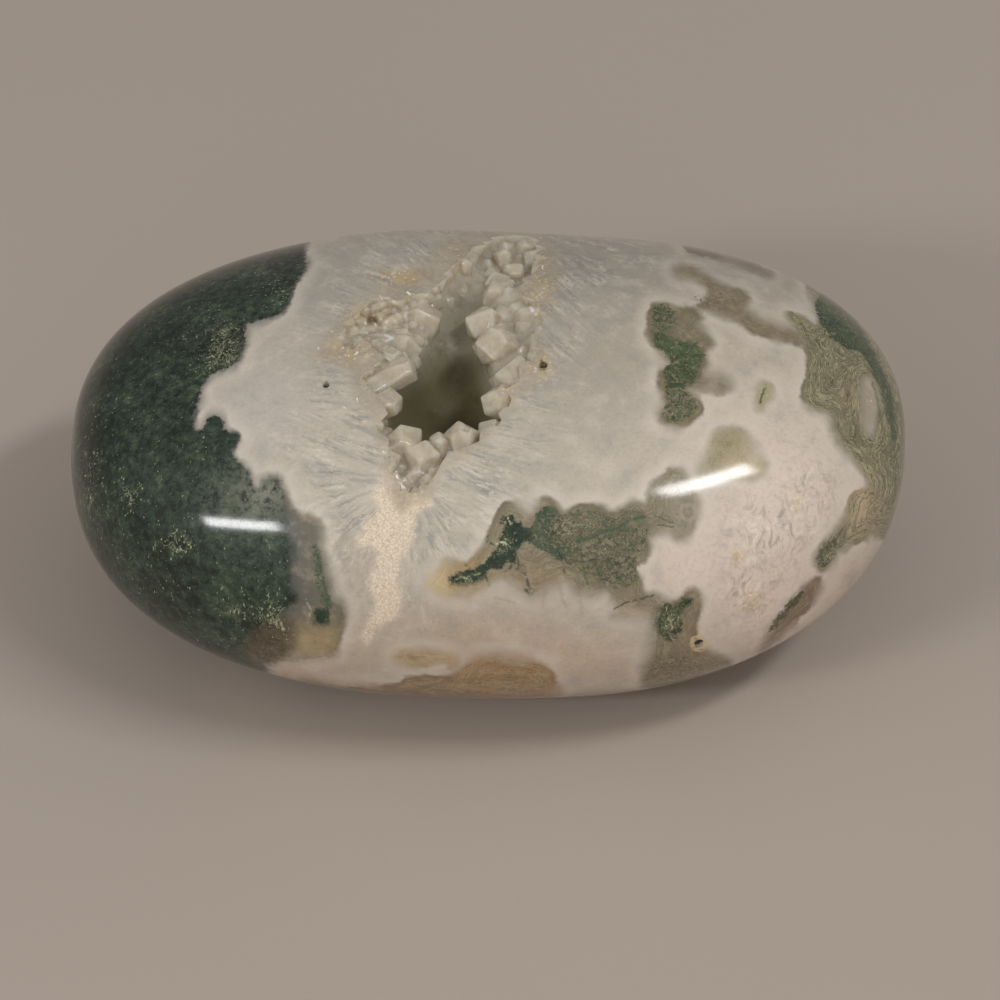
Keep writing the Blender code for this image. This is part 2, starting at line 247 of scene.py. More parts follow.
PATCH_A = (
    (652, 308), (659, 305), (678, 309), (692, 309), (700, 316), (698, 326), (706, 334), (712, 343),
    (704, 350), (706, 362), (706, 375), (722, 377), (729, 386), (720, 392), (706, 389), (692, 391),
    (698, 402), (700, 412), (690, 420), (678, 426), (663, 421), (661, 412), (666, 400), (660, 384),
    (662, 371), (672, 369), (667, 355), (655, 346), (649, 334), (650, 320),
)
PATCH_A_TOP = ((654, 309), (664, 306), (674, 312), (673, 324), (664, 332), (655, 326))
PATCH_A_MIDDLE = (
    (656, 332), (668, 338), (682, 343), (694, 347), (700, 356), (696, 367), (692, 380), (678, 386),
    (668, 380), (666, 370), (676, 364), (668, 352), (658, 344),
)
PATCH_A_LOW = (
    (667, 386), (682, 390), (692, 398), (695, 410), (684, 420), (668, 420), (664, 412), (669, 400),
)
BAND_B = (
    (672, 268), (682, 264), (698, 268), (714, 279), (731, 287), (744, 290), (751, 300), (749, 308),
    (763, 318), (784, 325), (802, 333), (806, 346), (790, 344), (768, 339), (752, 334), (740, 326),
    (724, 319), (706, 312), (694, 308), (704, 298), (706, 288), (690, 280), (676, 277),
)
BAND_B_DARK = ((690, 300), (706, 292), (724, 290), (742, 300), (726, 310), (706, 308))

RIGHT_SIDE = (
    (786, 312), (804, 316), (816, 324), (812, 300), (806, 280), (840, 270), (960, 380), (960, 560),
    (878, 538), (868, 541), (857, 544), (845, 551), (837, 556), (830, 569), (820, 573), (814, 566),
    (815, 555), (822, 542), (835, 528), (843, 516), (847, 502), (855, 491), (865, 487), (865, 479),
    (853, 461), (837, 444), (831, 428), (828, 414), (816, 413), (806, 406), (800, 393), (803, 381),
    (806, 364), (802, 346), (794, 330),
)
RIGHT_ISLAND = (
    (866, 378), (874, 384), (878, 398), (876, 416), (872, 434), (867, 428), (865, 408), (864, 392),
)
RIGHT_TOP_MOSS = (
    (815, 300), (830, 292), (850, 310), (866, 334), (884, 370), (894, 400), (897, 440), (892, 440),
    (884, 404), (872, 374), (860, 352), (850, 352), (840, 346), (826, 332), (818, 318),
)
RIGHT_LOW_MOSS = ((818, 566), (816, 556), (824, 543), (834, 534), (838, 546), (830, 562), (822, 570))
INCLUSION = ((757, 384), (766, 379), (775, 384), (774, 396), (764, 412), (757, 413), (753, 400))
INCLUSION_CORE = ((763, 386), (768, 384), (762, 403), (757, 406))
PATCH_D = (
    (709, 448), (711, 438), (717, 430), (731, 426), (744, 429), (751, 440), (755, 453), (767, 461),
    (767, 469), (758, 478), (740, 481), (718, 480), (700, 484), (696, 475), (702, 463),
)
PATCH_D_MOSS = ((710, 452), (713, 440), (722, 434), (730, 438), (728, 452), (718, 462), (706, 466))
LENS = (
    (820, 575), (822, 584), (816, 600), (803, 616), (784, 636), (759, 655), (764, 640), (776, 620),
    (790, 602), (806, 583),
)
LENS_VEIN = ((800, 592), (802, 597), (786, 614), (772, 632), (770, 628), (782, 610))
TOP_RIM = ((684, 243), (714, 249), (752, 262), (774, 272), (768, 278), (742, 268), (712, 259), (690, 255))

LOW_LEFT_RING = (
    (392, 658), (399, 650), (422, 647), (445, 650), (460, 658), (462, 668), (450, 671), (430, 669),
    (405, 668),
)
LOW_LEFT_LIGHT = ((428, 667), (444, 663), (446, 669), (432, 674))
LOW_RIGHT = (
    (462, 664), (472, 658), (484, 653), (507, 654), (530, 659), (548, 667), (556, 678), (552, 700),
    (420, 700), (452, 674),
)
LOW_EDGE = ((300, 680), (340, 686), (392, 684), (408, 676), (440, 675), (470, 680), (470, 720), (300, 720))
SEAM = (
    (400, 462), (411, 470), (416, 484), (428, 490), (434, 502), (422, 512), (415, 527), (415, 541),
    (402, 558), (399, 583), (404, 598), (399, 617), (376, 632), (366, 646), (360, 636), (374, 606),
    (370, 580), (374, 552), (358, 545), (363, 526), (376, 510), (370, 496), (380, 478), (390, 470),
)

# The quartz that the polish cuts through round the vug, and the line that its fibres stand off
DRUSE = (
    (446, 238), (428, 258), (404, 270), (384, 282), (368, 292), (352, 308), (334, 326), (318, 346),
    (311, 360), (325, 366), (342, 370), (352, 384), (358, 402), (366, 420), (376, 436), (380, 456),
    (384, 476), (386, 498), (398, 512), (414, 508), (428, 500), (440, 484), (452, 470), (470, 458),
    (486, 446), (498, 428), (510, 410), (524, 396), (540, 384), (550, 368), (548, 350), (541, 330),
    (546, 310), (558, 292), (564, 272), (556, 250), (545, 232), (500, 224),
)
VUG_SPINE = ((408, 480), (425, 440), (432, 390), (445, 340), (462, 300), (490, 262), (520, 225), (535, 150))

# Small pits in the polish: x, y, and radius in millimetres
PITS = ((543, 365, 0.34), (372, 320, 0.4), (326, 385, 0.26), (699, 643, 0.36))

# Fine threads and painted glints by colour. Each has its half width in millimetres, its share and its pixels.
DARK_THREAD = (40, 54, 42)
GREEN_THREAD = (60, 80, 58)
PALE_THREAD = (176, 174, 146)
PAINTED_GLINT = (250, 246, 236)
THREADS_AND_GLINTS = (
    (DARK_THREAD, (
        (0.09, 0.7, (514, 550), (519, 565), (527, 578), (529, 590)),
        (0.2, 0.8, (527, 590), (531, 592)),
        (0.07, 0.7, (522, 566), (516, 569)),
        (0.07, 0.8, (557, 548), (562, 562), (564, 572)),
    )),
    (GREEN_THREAD, (
        (0.09, 0.6, (576, 566), (584, 574), (589, 587)),
        (0.13, 0.8, (534, 530), (546, 537), (552, 546), (562, 549), (576, 541), (590, 538),
         (604, 531), (616, 530), (628, 520), (644, 517)),
    )),
    (DARK_THREAD, (
        (0.12, 0.6, (548, 520), (553, 528), (550, 538)),
    )),
    (PALE_THREAD, (
        (0.05, 0.3, (566, 520), (574, 526), (586, 524), (592, 529)),
        (0.05, 0.3, (578, 552), (590, 550), (598, 554), (612, 552)),
    )),
    (DARK_THREAD, (
        (0.06, 0.5, (570, 560), (584, 562), (596, 559), (610, 564), (624, 562)),
        (0.06, 0.5, (596, 572), (606, 575), (618, 572), (628, 577)),
        (0.1, 0.8, (505, 528), (500, 522), (503, 516)),
        (0.1, 0.8, (494, 545), (487, 541), (488, 536)),
        (0.09, 0.7, (470, 570), (466, 565)),
        (0.09, 0.7, (486, 577), (489, 584)),
        (0.1, 0.7, (512, 560), (511, 568), (506, 572)),
    )),
    ((206, 206, 176), (
        (0.08, 0.9, (497, 544), (503, 541), (507, 545)),
        (0.1, 0.9, (508, 519), (511, 523)),
    )),
    ((176, 180, 140), (
        (0.07, 0.7, (456, 579), (462, 577), (467, 579)),
        (0.07, 0.7, (474, 575), (480, 574)),
    )),
    ((104, 86, 44), (
        (0.26, 0.9, (543, 362), (543, 367)),
    )),
    ((128, 100, 46), (
        (0.3, 0.8, (371, 319), (374, 321)),
    )),
    ((112, 96, 60), (
        (0.18, 0.8, (326, 384), (326, 386)),
    )),
    # Painted glints: white specks laid as colour for the lamps' glints on quartz facets
    (PAINTED_GLINT, (
        (0.1, 1.0, (385, 335), (392, 338), (386, 341)),
        (0.11, 1.0, (530, 307), (533, 311)),
        (0.07, 1.0, (408, 292), (410, 295)),
        (0.05, 0.9, (379, 296), (382, 299)),
        (0.06, 0.9, (463, 289), (463, 290)),
        (0.05, 0.7, (381, 326), (387, 327)),
        (0.05, 0.9, (355, 356), (358, 353)),
        (0.05, 0.8, (332, 331), (333, 332)),
        (0.05, 0.7, (318, 348), (319, 349)),
        (0.05, 0.8, (357, 399), (358, 402)),
        (0.05, 0.6, (344, 406), (346, 408)),
        (0.06, 0.9, (383, 452), (386, 454)),
        (0.07, 0.9, (541, 238), (541, 240)),
        (0.05, 0.9, (542, 266), (543, 269)),
        (0.05, 0.7, (479, 240), (480, 241)),
        (0.06, 0.7, (449, 447), (451, 452)),
        (0.05, 0.7, (487, 327), (490, 323)),
    )),
    ((146, 126, 104), (
        (0.1, 0.25, (494, 598), (506, 600), (520, 604)),
    )),
    ((146, 128, 106), (
        (0.16, 0.3, (540, 578), (545, 592), (543, 606)),
        (0.16, 0.3, (553, 576), (560, 590), (566, 606)),
        (0.16, 0.25, (572, 580), (580, 596), (582, 612)),
    )),
    (DARK_THREAD, (
        (0.07, 0.7, (614, 609), (626, 603), (640, 599), (655, 595)),
        (0.06, 0.7, (655, 516), (670, 522)),
        (0.06, 0.7, (658, 524), (673, 527)),
        (0.06, 0.5, (672, 522), (677, 514)),
        (0.09, 0.7, (684, 604), (692, 599)),
    )),
    (PALE_THREAD, (
        (0.08, 0.6, (668, 618), (672, 627), (670, 634), (676, 642)),
    )),
    (GREEN_THREAD, (
        (0.1, 0.6, (316, 548), (321, 572), (328, 596), (326, 612)),
    )),
    (PALE_THREAD, (
        (0.08, 0.7, (306, 600), (311, 610), (308, 622)),
    )),
    ((74, 92, 68), (
        (0.2, 0.5, (846, 334), (866, 352), (880, 380), (890, 420), (893, 460)),
    )),
    ((74, 88, 66), (
        (0.08, 0.5, (872, 382), (878, 402), (882, 430)),
    )),
    (GREEN_THREAD, (
        (0.08, 0.6, (676, 350), (690, 356), (703, 357)),
        (0.08, 0.6, (680, 344), (690, 348), (697, 342)),
        (0.08, 0.8, (765, 388), (760, 402)),
    )),
)

# Rings and eyes in the halos
Ring = namedtuple("Ring", "x y radius half_width share colour")
RINGS = (
    Ring(688, 512, 0.6, 0.14, 0.45, (166, 156, 138)),
    Ring(688, 512, 0.26, 0.14, 0.4, (116, 106, 90)),
    Ring(699, 643, 0.5, 0.16, 0.8, (206, 186, 144)),
)

# Halos and mosses. What grows is moved outwards by so many millimetres. A halo's detail is how strong its
# curls are, and a moss's is how closely it covers what is under it.
Patch = namedtuple("Patch", "outline grow colour detail")
HALOS = (
    Patch(LEFT_END, 0.0, (92, 92, 90), 0.0),
    Patch(LEFT_CLEARING, -0.25, (128, 118, 94), 0.3),
    Patch(MIDDLE, 0.0, (130, 119, 98), 0.3),
    Patch(PATCH_A, 0.25, (128, 117, 96), 0.2),
    Patch(BAND_B, 0.0, (136, 122, 100), 0.2),
    Patch(RIGHT_SIDE, 0.0, (132, 124, 100), 0.75),
    Patch(INCLUSION, -0.1, (176, 166, 136), 0.3),
    Patch(PATCH_D, 0.0, (160, 148, 118), 0.2),
    Patch(LENS, 0.0, (132, 112, 92), 0.3),
    Patch(TOP_RIM, 0.0, (124, 112, 98), 0.2),
    # Partly painted light: this halo is a little lighter and warmer, for warm light reflected from below.
    Patch(LOW_LEFT_RING, -0.1, (184, 158, 122), 0.4),
    Patch(LOW_RIGHT, 0.0, (164, 132, 98), 0.4),
    Patch(LOW_EDGE, 0.0, (144, 120, 92), 0.3),
)
MOSSES = (
    Patch(LEFT_END, -0.25, (50, 65, 51), 1.0),
    Patch(LEFT_STREAK, 0.05, (84, 98, 76), 0.5),
    Patch(LEFT_KNOT, 0.1, (48, 66, 52), 0.7),
    Patch(LEFT_LOWER, 0.2, (90, 78, 62), 0.6),
    Patch(BRANCH, 0.05, (44, 58, 42), 0.8),
    Patch(MIDDLE_MOSS, 0.15, (82, 85, 62), 0.48),
    Patch(MIDDLE_VEIN, 0.05, (56, 78, 62), 0.68),
    Patch(MIDDLE_KNOT, 0.05, (58, 80, 62), 0.62),
    Patch(LOWER_MOSS, 0.05, (66, 78, 56), 0.55),
    Patch(LOWER_DARK, 0.0, (98, 84, 66), 0.42),
    Patch(PATCH_A_TOP, 0.1, (80, 90, 68), 0.5),
    Patch(PATCH_A_MIDDLE, 0.25, (80, 94, 64), 0.56),
    Patch(PATCH_A_LOW, 0.1, (86, 94, 68), 0.5),
    Patch(BAND_B_DARK, 0.0, (122, 112, 92), 0.42),
    Patch(RIGHT_TOP_MOSS, -0.05, (72, 86, 64), 0.58),
    Patch(RIGHT_LOW_MOSS, -0.1, (84, 88, 70), 0.5),
    Patch(INCLUSION_CORE, -0.1, (134, 130, 98), 0.5),
    Patch(PATCH_D_MOSS, 0.0, (132, 132, 102), 0.4),
    Patch(LENS_VEIN, 0.0, (96, 94, 70), 0.6),
)
ISLANDS = (RIGHT_ISLAND, LOW_LEFT_LIGHT)

# The slow changes of the colours, as soft spots in the photo: x, y, width, height, share and colour
GROUND = (186, 177, 162)
# Partly painted light: the light spots towards the right end and the bottom stand for light falling there.
GROUND_TONE_AND_LIGHT_SPOTS = (
    (330, 290, 90, 50, 0.8, (162, 156, 146)), (260, 410, 60, 60, 0.8, (186, 179, 171)),
    (345, 500, 50, 90, 0.8, (190, 181, 167)), (360, 560, 30, 40, 0.8, (178, 167, 152)),
    (600, 270, 110, 50, 0.8, (158, 150, 138)), (600, 370, 70, 60, 0.7, (166, 158, 146)),
    (700, 350, 70, 40, 0.7, (182, 168, 150)), (470, 640, 110, 40, 0.8, (180, 161, 138)),
    (780, 500, 110, 120, 0.9, (220, 204, 190)), (690, 570, 40, 40, 0.8, (218, 201, 187)),
    (740, 270, 80, 30, 0.8, (148, 138, 124)), (835, 640, 60, 60, 0.8, (196, 174, 160)),
    (300, 660, 60, 30, 0.8, (180, 156, 132)), (868, 405, 16, 34, 1.0, (146, 128, 104)),
    (570, 660, 90, 24, 0.7, (196, 172, 150)), (785, 612, 60, 50, 0.9, (224, 204, 188)),
)
HALO_SPOTS = (
    (436, 582, 26, 24, 1.0, (206, 182, 140)), (470, 568, 22, 18, 0.8, (168, 144, 106)),
    (480, 592, 30, 12, 0.7, (176, 154, 118)), (540, 578, 40, 16, 0.6, (148, 126, 100)),
    (600, 540, 50, 40, 0.8, (100, 96, 74)), (852, 405, 12, 28, 0.8, (150, 132, 108)),
    (865, 470, 22, 80, 0.6, (126, 120, 92)), (900, 420, 10, 90, 0.7, (94, 100, 76)),
    (858, 505, 18, 32, 0.9, (194, 172, 144)), (700, 640, 24, 20, 0.6, (146, 124, 98)),
    (632, 612, 24, 12, 0.8, (166, 150, 128)), (686, 512, 22, 34, 0.85, (160, 149, 132)),
    (315, 642, 32, 24, 0.9, (168, 148, 110)), (315, 560, 20, 50, 0.6, (118, 114, 98)),
    (745, 465, 20, 14, 0.8, (196, 180, 150)),
)
# Partly painted shade: the dark spots at the stone's left end darken it as shade does.
MOSS_TONE_AND_SHADE_SPOTS = (
    (262, 494, 28, 26, 1.0, (130, 132, 118)), (225, 500, 30, 30, 0.5, (92, 98, 84)),
    (232, 350, 24, 26, 0.7, (92, 94, 76)), (275, 262, 26, 20, 0.6, (78, 80, 66)),
    (98, 430, 30, 80, 0.8, (34, 46, 36)), (170, 330, 50, 50, 0.5, (40, 46, 40)),
    (270, 575, 24, 24, 0.5, (56, 76, 60)), (640, 520, 16, 14, 0.8, (110, 118, 92)),
)
# Where bright flecks crowd the moss
FLECK_SPOTS = (
    (90, 480, 12, 70, 0.7), (130, 500, 16, 20, 0.8), (175, 545, 24, 20, 1.0), (265, 615, 42, 20, 1.0),
    (222, 350, 30, 30, 1.0), (275, 285, 26, 24, 0.6), (500, 545, 16, 14, 1.0), (465, 580, 20, 8, 0.9),
    (670, 620, 14, 16, 0.9),
)
# Where iron has stained the quartz yellow; painted glints are strewn in these stains too
STAIN_AND_GLINT_SPOTS = (
    (375, 318, 26, 14, 0.9), (398, 276, 26, 8, 0.9), (350, 350, 20, 12, 0.7), (455, 254, 12, 10, 0.6),
    (540, 290, 14, 20, 0.6), (541, 366, 12, 12, 0.7), (505, 385, 10, 20, 0.4), (410, 500, 16, 14, 0.4),
    (750, 600, 7, 9, 1.0), (794, 503, 7, 9, 0.9), (738, 556, 6, 8, 0.8), (871, 403, 5, 6, 1.0),
    (699, 643, 9, 10, 1.0),
)
# Where the halos fade out slowly
SOFT_SPOTS = (
    (480, 600, 50, 16, 0.8), (560, 600, 60, 20, 1.0), (630, 618, 30, 14, 1.0), (645, 655, 14, 26, 0.7),
    (425, 585, 14, 24, 0.7), (500, 655, 60, 12, 0.6), (690, 545, 20, 12, 0.6), (290, 560, 20, 40, 0.8),
    (280, 640, 40, 30, 1.0), (262, 480, 20, 12, 0.4), (690, 330, 30, 20, 0.5), (715, 380, 20, 14, 0.8),
    (740, 450, 40, 30, 0.6), (866, 400, 14, 30, 0.5),
)
# Where the white is drusy
DRUSY_SPOTS = (
    (770, 530, 42, 34, 1.0), (750, 590, 30, 34, 0.9), (810, 490, 28, 26, 0.8), (345, 555, 16, 26, 0.6),
)

# The hidden back and underside, guessed: balls of moss in the stone, in millimetres from its middle
Ball = namedtuple("Ball", "x y z radius colour detail")
HIDDEN_MOSS = (
    Ball(-34, 4, 0, 19.5, (46, 60, 48), 1.0),
    Ball(-15, 18, 2, 5.5, (52, 70, 50), 0.6),
    Ball(-6, 20, -3, 3.5, (76, 86, 62), 0.6),
    Ball(9, 20, 1, 5.0, (74, 86, 62), 0.6),
    Ball(16, 16, -5, 4.5, (94, 98, 70), 0.6),
    Ball(33, 2, -2, 8.0, (108, 108, 80), 0.6),
    Ball(-12, -6, -15, 6.0, (60, 76, 56), 0.6),
    Ball(8, 2, -16, 5.5, (92, 96, 70), 0.6),
    Ball(17, 8, 13, 3.5, (102, 102, 78), 0.6),
)
HIDDEN_HALO = 1.1  # how far their halos stand out
HIDDEN_CURL = 0.4
HIDDEN_HALO_COLOUR = (134, 122, 98)
LOBES = 2.4  # how far noise moves their edges
LOBE_SIZE = 4.2


def shoulder_factor(directions):
    factor = 1.0
    for degrees, share in SHOULDERS:
        angle = math.radians(degrees)
        toward = FACE_AXES[0] * math.cos(angle) + FACE_AXES[1] * math.sin(angle)
        factor = factor + share * np.exp((directions @ toward - 1) / SHOULDER_SPREAD**2)
    return factor


def body_radius(directions):
    """The distance from the stone's middle to its polished surface, along unit vectors."""
    along, across, height = np.moveaxis(np.abs(directions) / HALF_SIZES, -1, 0)
    section = (across**SECTION_FULLNESS + height**SECTION_FULLNESS) ** (1 / SECTION_FULLNESS)
    radius = (along**END_FULLNESS + section**END_FULLNESS) ** (-1 / END_FULLNESS)
    return radius * shoulder_factor(directions)


def depth_below_polish(points):
    """How far points lie inside the polished surface, measured towards the stone's middle."""
    lengths = np.linalg.norm(points, axis=-1)
    return body_radius(points / lengths[..., None]) - lengths


def on_face(across, up, out):
    return np.array((across, up, out)) @ FACE_AXES


def surface_on_face(across, up):
    """The point of the polished surface that lies straight out from a place on the face."""
    outside = WIDTH
    inside = outside
    while depth_below_polish(on_face(across, up, inside)) < 0:
        if inside < -WIDTH:
            raise ValueError(f"{across}, {up} is beside the stone")
        outside = inside
        inside -= SEARCH_STEP
    while outside - inside > SEARCH_END:
        middle = (inside + outside) / 2
        if depth_below_polish(on_face(across, up, middle)) > 0:
            inside = middle
        else:
            outside = middle
    return Vector(on_face(across, up, inside))


def surface_axes(point):
    """Three unit vectors at a point of the polished surface: right along it, up along it, and out of it."""
    direction = point.normalized()
    side = direction.orthogonal().normalized()
    nearby = []
    for turn in (side, direction.cross(side)):
        moved = (direction + turn * SMALL_TURN).normalized()
        nearby.append(moved * float(body_radius(np.array(moved))) - point)
    outward = nearby[0].cross(nearby[1]).normalized()
    across = Vector(FACE_AXES[0])
    right = (across - outward * across.dot(outward)).normalized()
    return right, outward.cross(right), outward


def add_to_scene(name, data):
    thing = bpy.data.objects.new(name, data)
    bpy.context.scene.collection.objects.link(thing)
    return thing


def new_object(name, bm):
    mesh = bpy.data.meshes.new(name)
    bmesh.ops.triangulate(bm, faces=bm.faces)
    bm.to_mesh(mesh)
    bm.free()
    return add_to_scene(name, mesh)


def modify(thing, kind, **settings):
    """Changes a mesh by one modifier."""
    modifier = thing.modifiers.new(kind, kind)
    for name, value in settings.items():
        setattr(modifier, name, value)
    bpy.context.view_layer.update()
    graph = bpy.context.evaluated_depsgraph_get()
    result = bpy.data.meshes.new_from_object(thing.evaluated_get(graph))
    thing.modifiers.clear()
    old = thing.data
    thing.data = result
    bpy.data.meshes.remove(old)


def boolean(target, cutter, operation, itself=False):
    """Joins or cuts the target by the cutter, and removes the cutter."""
    modify(target, "BOOLEAN", operation=operation, solver="EXACT", use_self=itself, object=cutter)
    bpy.data.objects.remove(cutter, do_unlink=True)


def soften(thing, softness):
    """Rounds the edges, by remaking a mesh in even small faces and smoothing it."""
    modify(thing, "REMESH", mode="VOXEL", voxel_size=softness.voxel)
    modify(thing, "SMOOTH", iterations=softness.steps)


def keep_largest_body(thing):
    """Deletes every separate closed shell of a mesh but the one with the most volume."""
    bm = bmesh.new()
    bm.from_mesh(thing.data)
    left = set(bm.faces)
    shells = []
    while left:
        shell, frontier = set(), [left.pop()]
        while frontier:
            face = frontier.pop()
            shell.add(face)
            near = {other for edge in face.edges for other in edge.link_faces} & left
            left -= near
            frontier.extend(near)
        volume = sum(f.verts[0].co.dot(f.verts[1].co.cross(f.verts[2].co)) for f in shell) / 6
        shells.append((volume, shell))
    shells.sort(key=lambda pair: pair[0])
    doomed = [face for _, shell in shells[:-1] for face in shell]
    bmesh.ops.delete(bm, geom=doomed, context="FACES")
    bm.to_mesh(thing.data)
    bm.free()


def make_body(name):
    """The polished stone with no vug, its belly worn flat."""
    bm = bmesh.new()
    bmesh.ops.create_cube(bm, size=2)
    for axis, rows in enumerate(BODY_CUTS):
        whole = [e for e in bm.edges if abs(e.verts[0].co[axis] - e.verts[1].co[axis]) > 1]
        bmesh.ops.subdivide_edges(bm, edges=whole, cuts=rows - 1, use_grid_fill=True)
    directions = np.tan(np.array([vert.co for vert in bm.verts]) * math.pi / 4) * HALF_SIZES
    directions /= np.linalg.norm(directions, axis=1)[:, None]
    points = directions * body_radius(directions)[:, None]
    floor = points[:, 2].min() + BELLY_FLAT
    for vert, point in zip(bm.verts, points):
        vert.co = (point[0], point[1], max(point[2], floor))
    return new_object(name, bm)


def wander(direction, seed):
    """A smooth uneven factor near 1, which keeps a bay from being a plain ellipsoid."""
    waves = math.sin(3.1 * direction.x + 1.7 * seed) * math.cos(2.7 * direction.y - seed)
    waves += math.sin(4.3 * direction.z + 2.3 * seed + 2.0 * direction.x)
    return 1 + UNEVENNESS * waves / 2


def make_bay(name, bay, seed, growth):
    """A bay's open space grown on all sides: an uneven ellipsoid, deep below its mouth and low above it."""
    mouth = surface_on_face(bay.across, bay.up)
    right, rise, outward = surface_axes(mouth)
    spin = Matrix.Rotation(math.radians(bay.turn), 3, outward)
    right, rise = spin @ right, spin @ rise
    half_width, half_height, depth = (size + growth for size in (bay.half_width, bay.half_height, bay.depth))
    above = min(half_width, half_height)
    bm = bmesh.new()
    bmesh.ops.create_icosphere(bm, subdivisions=BAY_SUBDIVISIONS, radius=1)
    for vert in bm.verts:
        factor = wander(vert.co, seed)
        height = depth if vert.co.z < 0 else above
        along = right * vert.co.x * half_width + rise * vert.co.y * half_height
        offset = (along + outward * vert.co.z * height) * factor
        rough = noise.noise((mouth + offset) / RAGGED_SIZE) * RAGGEDNESS
        vert.co = mouth + offset + offset.normalized() * rough
    return new_object(name, bm)


def join_bays(name, crust_share):
    """All the bays in one closed mesh, each grown by a share of its crust's thickness."""
    joined, *others = (make_bay(name, bay, seed, bay.crust * crust_share) for seed, bay in enumerate(BAYS))
    for other in others:
        boolean(joined, other, "UNION")
    return joined


def add_crystal(bm, tip, axis, radius, length, spin):
    """A quartz point: a hexagonal prism with a stepped shoulder and six faces that meet off the axis."""
    side = axis.orthogonal().normalized()
    other = axis.cross(side)
    shoulder = tip - axis * radius * CRYSTAL_POINT
    root = tip - axis * (length + CRYSTAL_ROOT)
    lower, upper = [], []
    for k in range(6):
        angle = spin + math.radians(60 * k)
        spoke = side * math.cos(angle) + other * math.sin(angle)
        step = SHOULDER_STEP if k % 2 else -SHOULDER_STEP
        lower.append(bm.verts.new(root + spoke * radius * CRYSTAL_TAPER))
        upper.append(bm.verts.new(shoulder + spoke * radius + axis * radius * step))
    off_middle = (side * math.cos(spin * 5) + other * math.sin(spin * 3)) * radius * POINT_OFFSET
    point = bm.verts.new(tip + off_middle)
    foot = bm.verts.new(root)
    for k in range(6):
        after = (k + 1) % 6
        bm.faces.new((lower[k], lower[after], upper[after], upper[k]))
        bm.faces.new((upper[k], upper[after], point))
        bm.faces.new((lower[after], lower[k], foot))


def add_rim_crystals(bm, chance):
    for crystal in RIM_CRYSTALS:
        place = surface_on_face(crystal.across, crystal.up)
        right, rise, outward = surface_axes(place)
        aim, lean = math.radians(crystal.aim), math.radians(crystal.lean)
        axis = (right * math.cos(aim) + rise * math.sin(aim)) * math.cos(lean) + outward * math.sin(lean)
        tip = place - outward * crystal.under
        add_crystal(bm, tip, axis, crystal.radius, crystal.length, chance.uniform(0, math.tau))


def add_small_crystals(bm, chance, space):
    """Crystals on the wall of the open space near the polish. Deeper down the wall is bare."""
    walls = [(face.center.copy(), face.normal.copy()) for face in space.data.polygons]
    chance.shuffle(walls)
    placed = []
    for centre, normal in walls:
        depth = float(depth_below_polish(np.array(centre)))
        coat = SUGAR_COAT if centre.x < SUGAR_EDGE else BLOCK_COAT
        if not 0 <= depth < MARGIN_DEPTH or any((centre - other).length < coat.spacing for other in placed):
            continue
        placed.append(centre)
        stray = Vector([chance.uniform(-1, 1) for _ in range(3)]) * CRYSTAL_LEAN
        axis = (stray - normal).normalized()
        radius = chance.uniform(*coat.radius)
        length = radius * (chance.uniform(*coat.reach) + CRYSTAL_POINT)
        add_crystal(bm, centre + axis * length, axis, radius, length, chance.uniform(0, math.tau))


def make_crystals(name, space):
    chance = random.Random(SMALL_CRYSTAL_SEED)
    bm = bmesh.new()
    add_rim_crystals(bm, chance)
    add_small_crystals(bm, chance, space)
    return new_object(name, bm)


def surface_in_photo(x, y):
    """The point of the polish that the photo shows at a pixel."""
    out = 0.0
    for _ in range(VIEW_STEPS):
        shrink = (1 - out / VIEW_DISTANCE) / PIXELS_PER_MM
        point = surface_on_face((x - PHOTO_MIDDLE[0]) * shrink, (PHOTO_MIDDLE[1] - y) * shrink)
        out = float(np.array(point) @ FACE_AXES[2])
    return point


def make_pits():
    """Small round holes in the polish."""
    bm = bmesh.new()
    for x, y, radius in PITS:
        matrix = Matrix.Translation(surface_in_photo(x, y))
        bmesh.ops.create_icosphere(bm, subdivisions=3, radius=radius, matrix=matrix)
    return new_object("pits", bm)


def make_stone_and_crust():
    """Both are cut from one body along one wall, so that the polish runs over from the stone to the crust."""
    stone = make_body("agate")
    crust = join_bays("druse", crust_share=1)
    wall = add_to_scene("wall", crust.data.copy())
    boolean(crust, add_to_scene("body", stone.data.copy()), "INTERSECT")
    boolean(stone, wall, "DIFFERENCE")
    space = join_bays("space", crust_share=0)
    soften(space, WALL_SOFTNESS)
    boolean(space, make_crystals("crystals", space), "DIFFERENCE", itself=True)
    keep_largest_body(space)
    soften(space, CRYSTAL_SOFTNESS)
    boolean(crust, space, "DIFFERENCE")
    keep_largest_body(crust)
    for thing in (stone, crust):
        boolean(thing, make_pits(), "DIFFERENCE")
    return stone, crust


def in_photo(points):
    """Where points are in the photo, in its pixels."""
    across, up, out = np.moveaxis(points @ FACE_AXES.T, -1, 0)
    scale = PIXELS_PER_MM / (1 - out / VIEW_DISTANCE)
    return PHOTO_MIDDLE + np.stack((across * scale, -up * scale), axis=-1)


def step(low, high, values):
    """0 below low, 1 above high, and smooth between them."""
    share = np.clip((values - low) / (high - low), 0, 1)
    return share * share * (3 - 2 * share)


def smooth_loop(corners):
    """A closed outline through its corners, rounded as a Catmull-Rom curve."""
    around = np.array([np.roll(corners, -k, axis=0) for k in (-1, 0, 1, 2)])
    powers = (np.arange(LOOP_STEPS) / LOOP_STEPS)[:, None] ** np.arange(4)
    return np.einsum("tk,kcx->ctx", powers @ CATMULL_ROM, around).reshape(-1, 2)


def shifts_from(places, line):
    """For each stretch of a line of points, how far and which way places are from its nearest point."""
    for start, end in zip(line[:-1], line[1:]):
        along = end - start
        share = np.clip((places - start) @ along / max(along @ along, TINY), 0, 1)
        yield places - start - share[:, None] * along


def distance_to_line(places, line):
    """How far places in the photo are from a line of points, in millimetres."""
    nearest = np.full(len(places), np.inf)
    for shift in shifts_from(places, line):
        nearest = np.minimum(nearest, np.einsum("ij,ij->i", shift, shift))
    return np.sqrt(nearest) / PIXELS_PER_MM


